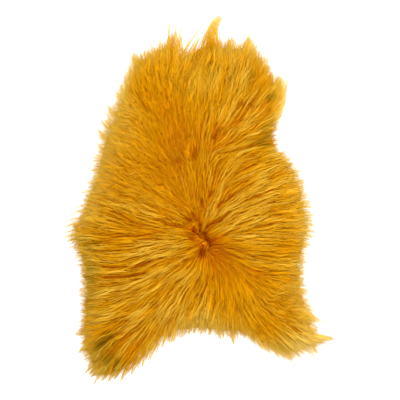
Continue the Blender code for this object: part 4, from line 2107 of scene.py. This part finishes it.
@dataclass
class Studio:
    """The plain floor, the soft light and the camera straight above the rug."""

    panels: tuple[Panel, ...] = (
        Panel("sky_panel", (0.0, 0.0, 2.6), (3.4, 3.4), 92.0),
        Panel("key_panel", (0.9, 1.2, 1.9), (0.7, 0.7), 34.0, (-0.56, 0.36)),
    )
    world_strength: float = 0.61
    floor_half: float = 6.0
    floor_height: float = -0.0002
    floor_colour: Triple = (0.40, 0.41, 0.46)
    floor_glow: Triple = (1.0, 0.985, 0.945)
    floor_glow_strength: float = 0.80
    floor_roughness: float = 0.95
    floor_shine: float = 0.1
    camera_height: float = 3.6
    view_width: float = 1.040
    centre: Pair = (0.0, -0.004)
    sensor: float = 36.0
    view_end: float = 20.0

    def build(self) -> None:
        """Make the floor, the lights and the camera, and set the colour handling."""
        self._floor()
        for panel in self.panels:
            panel.hang()
        world = bpy.data.worlds.new("studio_white")
        world.use_nodes = True
        background = world.node_tree.nodes["Background"]
        background.inputs["Color"].default_value = (1.0, 1.0, 1.0, 1.0)
        background.inputs["Strength"].default_value = self.world_strength
        bpy.context.scene.world = world
        self._camera()
        bpy.context.scene.view_settings.view_transform = "Standard"

    def _floor(self) -> None:
        """Lay a wide pale floor just under the rug."""
        corners = np.array(((-1.0, -1.0), (1.0, -1.0), (1.0, 1.0), (-1.0, 1.0))) * self.floor_half
        points = np.column_stack((corners, np.full(4, self.floor_height)))
        material, _tree, shader = new_material("floor_paper")
        shader.inputs["Base Color"].default_value = (*self.floor_colour, 1.0)
        shader.inputs["Roughness"].default_value = self.floor_roughness
        shader.inputs["Specular IOR Level"].default_value = self.floor_shine
        # The floor glows as well: painted light that washes out the rug's shadow on it and lights the
        # wool's edge from below.
        shader.inputs["Emission Color"].default_value = (*self.floor_glow, 1.0)
        shader.inputs["Emission Strength"].default_value = self.floor_glow_strength
        floor = new_object("floor", points, [np.array([[0, 1, 2, 3]])], material)

    def _camera(self) -> None:
        """Put the camera straight above, its view just wider than the rug is long."""
        lens = bpy.data.cameras.new("camera")
        lens.sensor_width = self.sensor
        lens.lens = self.sensor * self.camera_height / self.view_width
        lens.clip_end = self.view_end
        camera = bpy.data.objects.new("camera", lens)
        camera.location = (*self.centre, self.camera_height)
        bpy.context.scene.collection.objects.link(camera)
        bpy.context.scene.camera = camera


def report(piece: bpy.types.Object) -> None:
    """Log a finished piece's name and triangle count."""
    piece.data.calc_loop_triangles()
    LOG.info("built %s with %d triangles", piece.name, len(piece.data.loop_triangles))


def main() -> None:
    """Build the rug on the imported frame, then the studio around it."""
    logging.basicConfig(level=logging.INFO, format="%(name)s: %(message)s")
    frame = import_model()
    pelt = Pelt(frame["nodes"][NODE])
    lie = WoolLie(pelt)
    shading = Shading()
    skin = Hide(pelt, lie)
    hide = skin.build(shading)
    partings = Partings()
    dye_and_light = DyeAndLight(pelt)
    combing = Combing(pelt, lie)
    wool = [
        Underwool(pelt, combing, partings, dye_and_light).build(shading),
        *LongWool(pelt, lie, combing, partings, dye_and_light).grow(shading),
        PartingShadowStrands(pelt, partings, dye_and_light).grow(shading),
        *EdgeFringe(pelt, lie, dye_and_light).grow(shading),
        Tufts(pelt, dye_and_light, "edge_tufts", TUFTS, rise=(0.84, 0.96), colour=0.44).grow(shading),
        Tufts(
            pelt, dye_and_light, "crest_locks", CRESTS, rise=(0.95, 1.0), lift=0.0035, colour=0.50,
            finish=WoolFinish("crest_wool_dye_and_shade"), seed=37,
        ).grow(shading),
        LooseFibres(pelt, lie, dye_and_light).grow(shading),
    ]
    for piece in (hide, *wool):
        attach(piece, BODY)
        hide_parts(NODE)
        report(piece)
    skin.area()
    Studio().build()


if __name__ == "__main__":
    main()
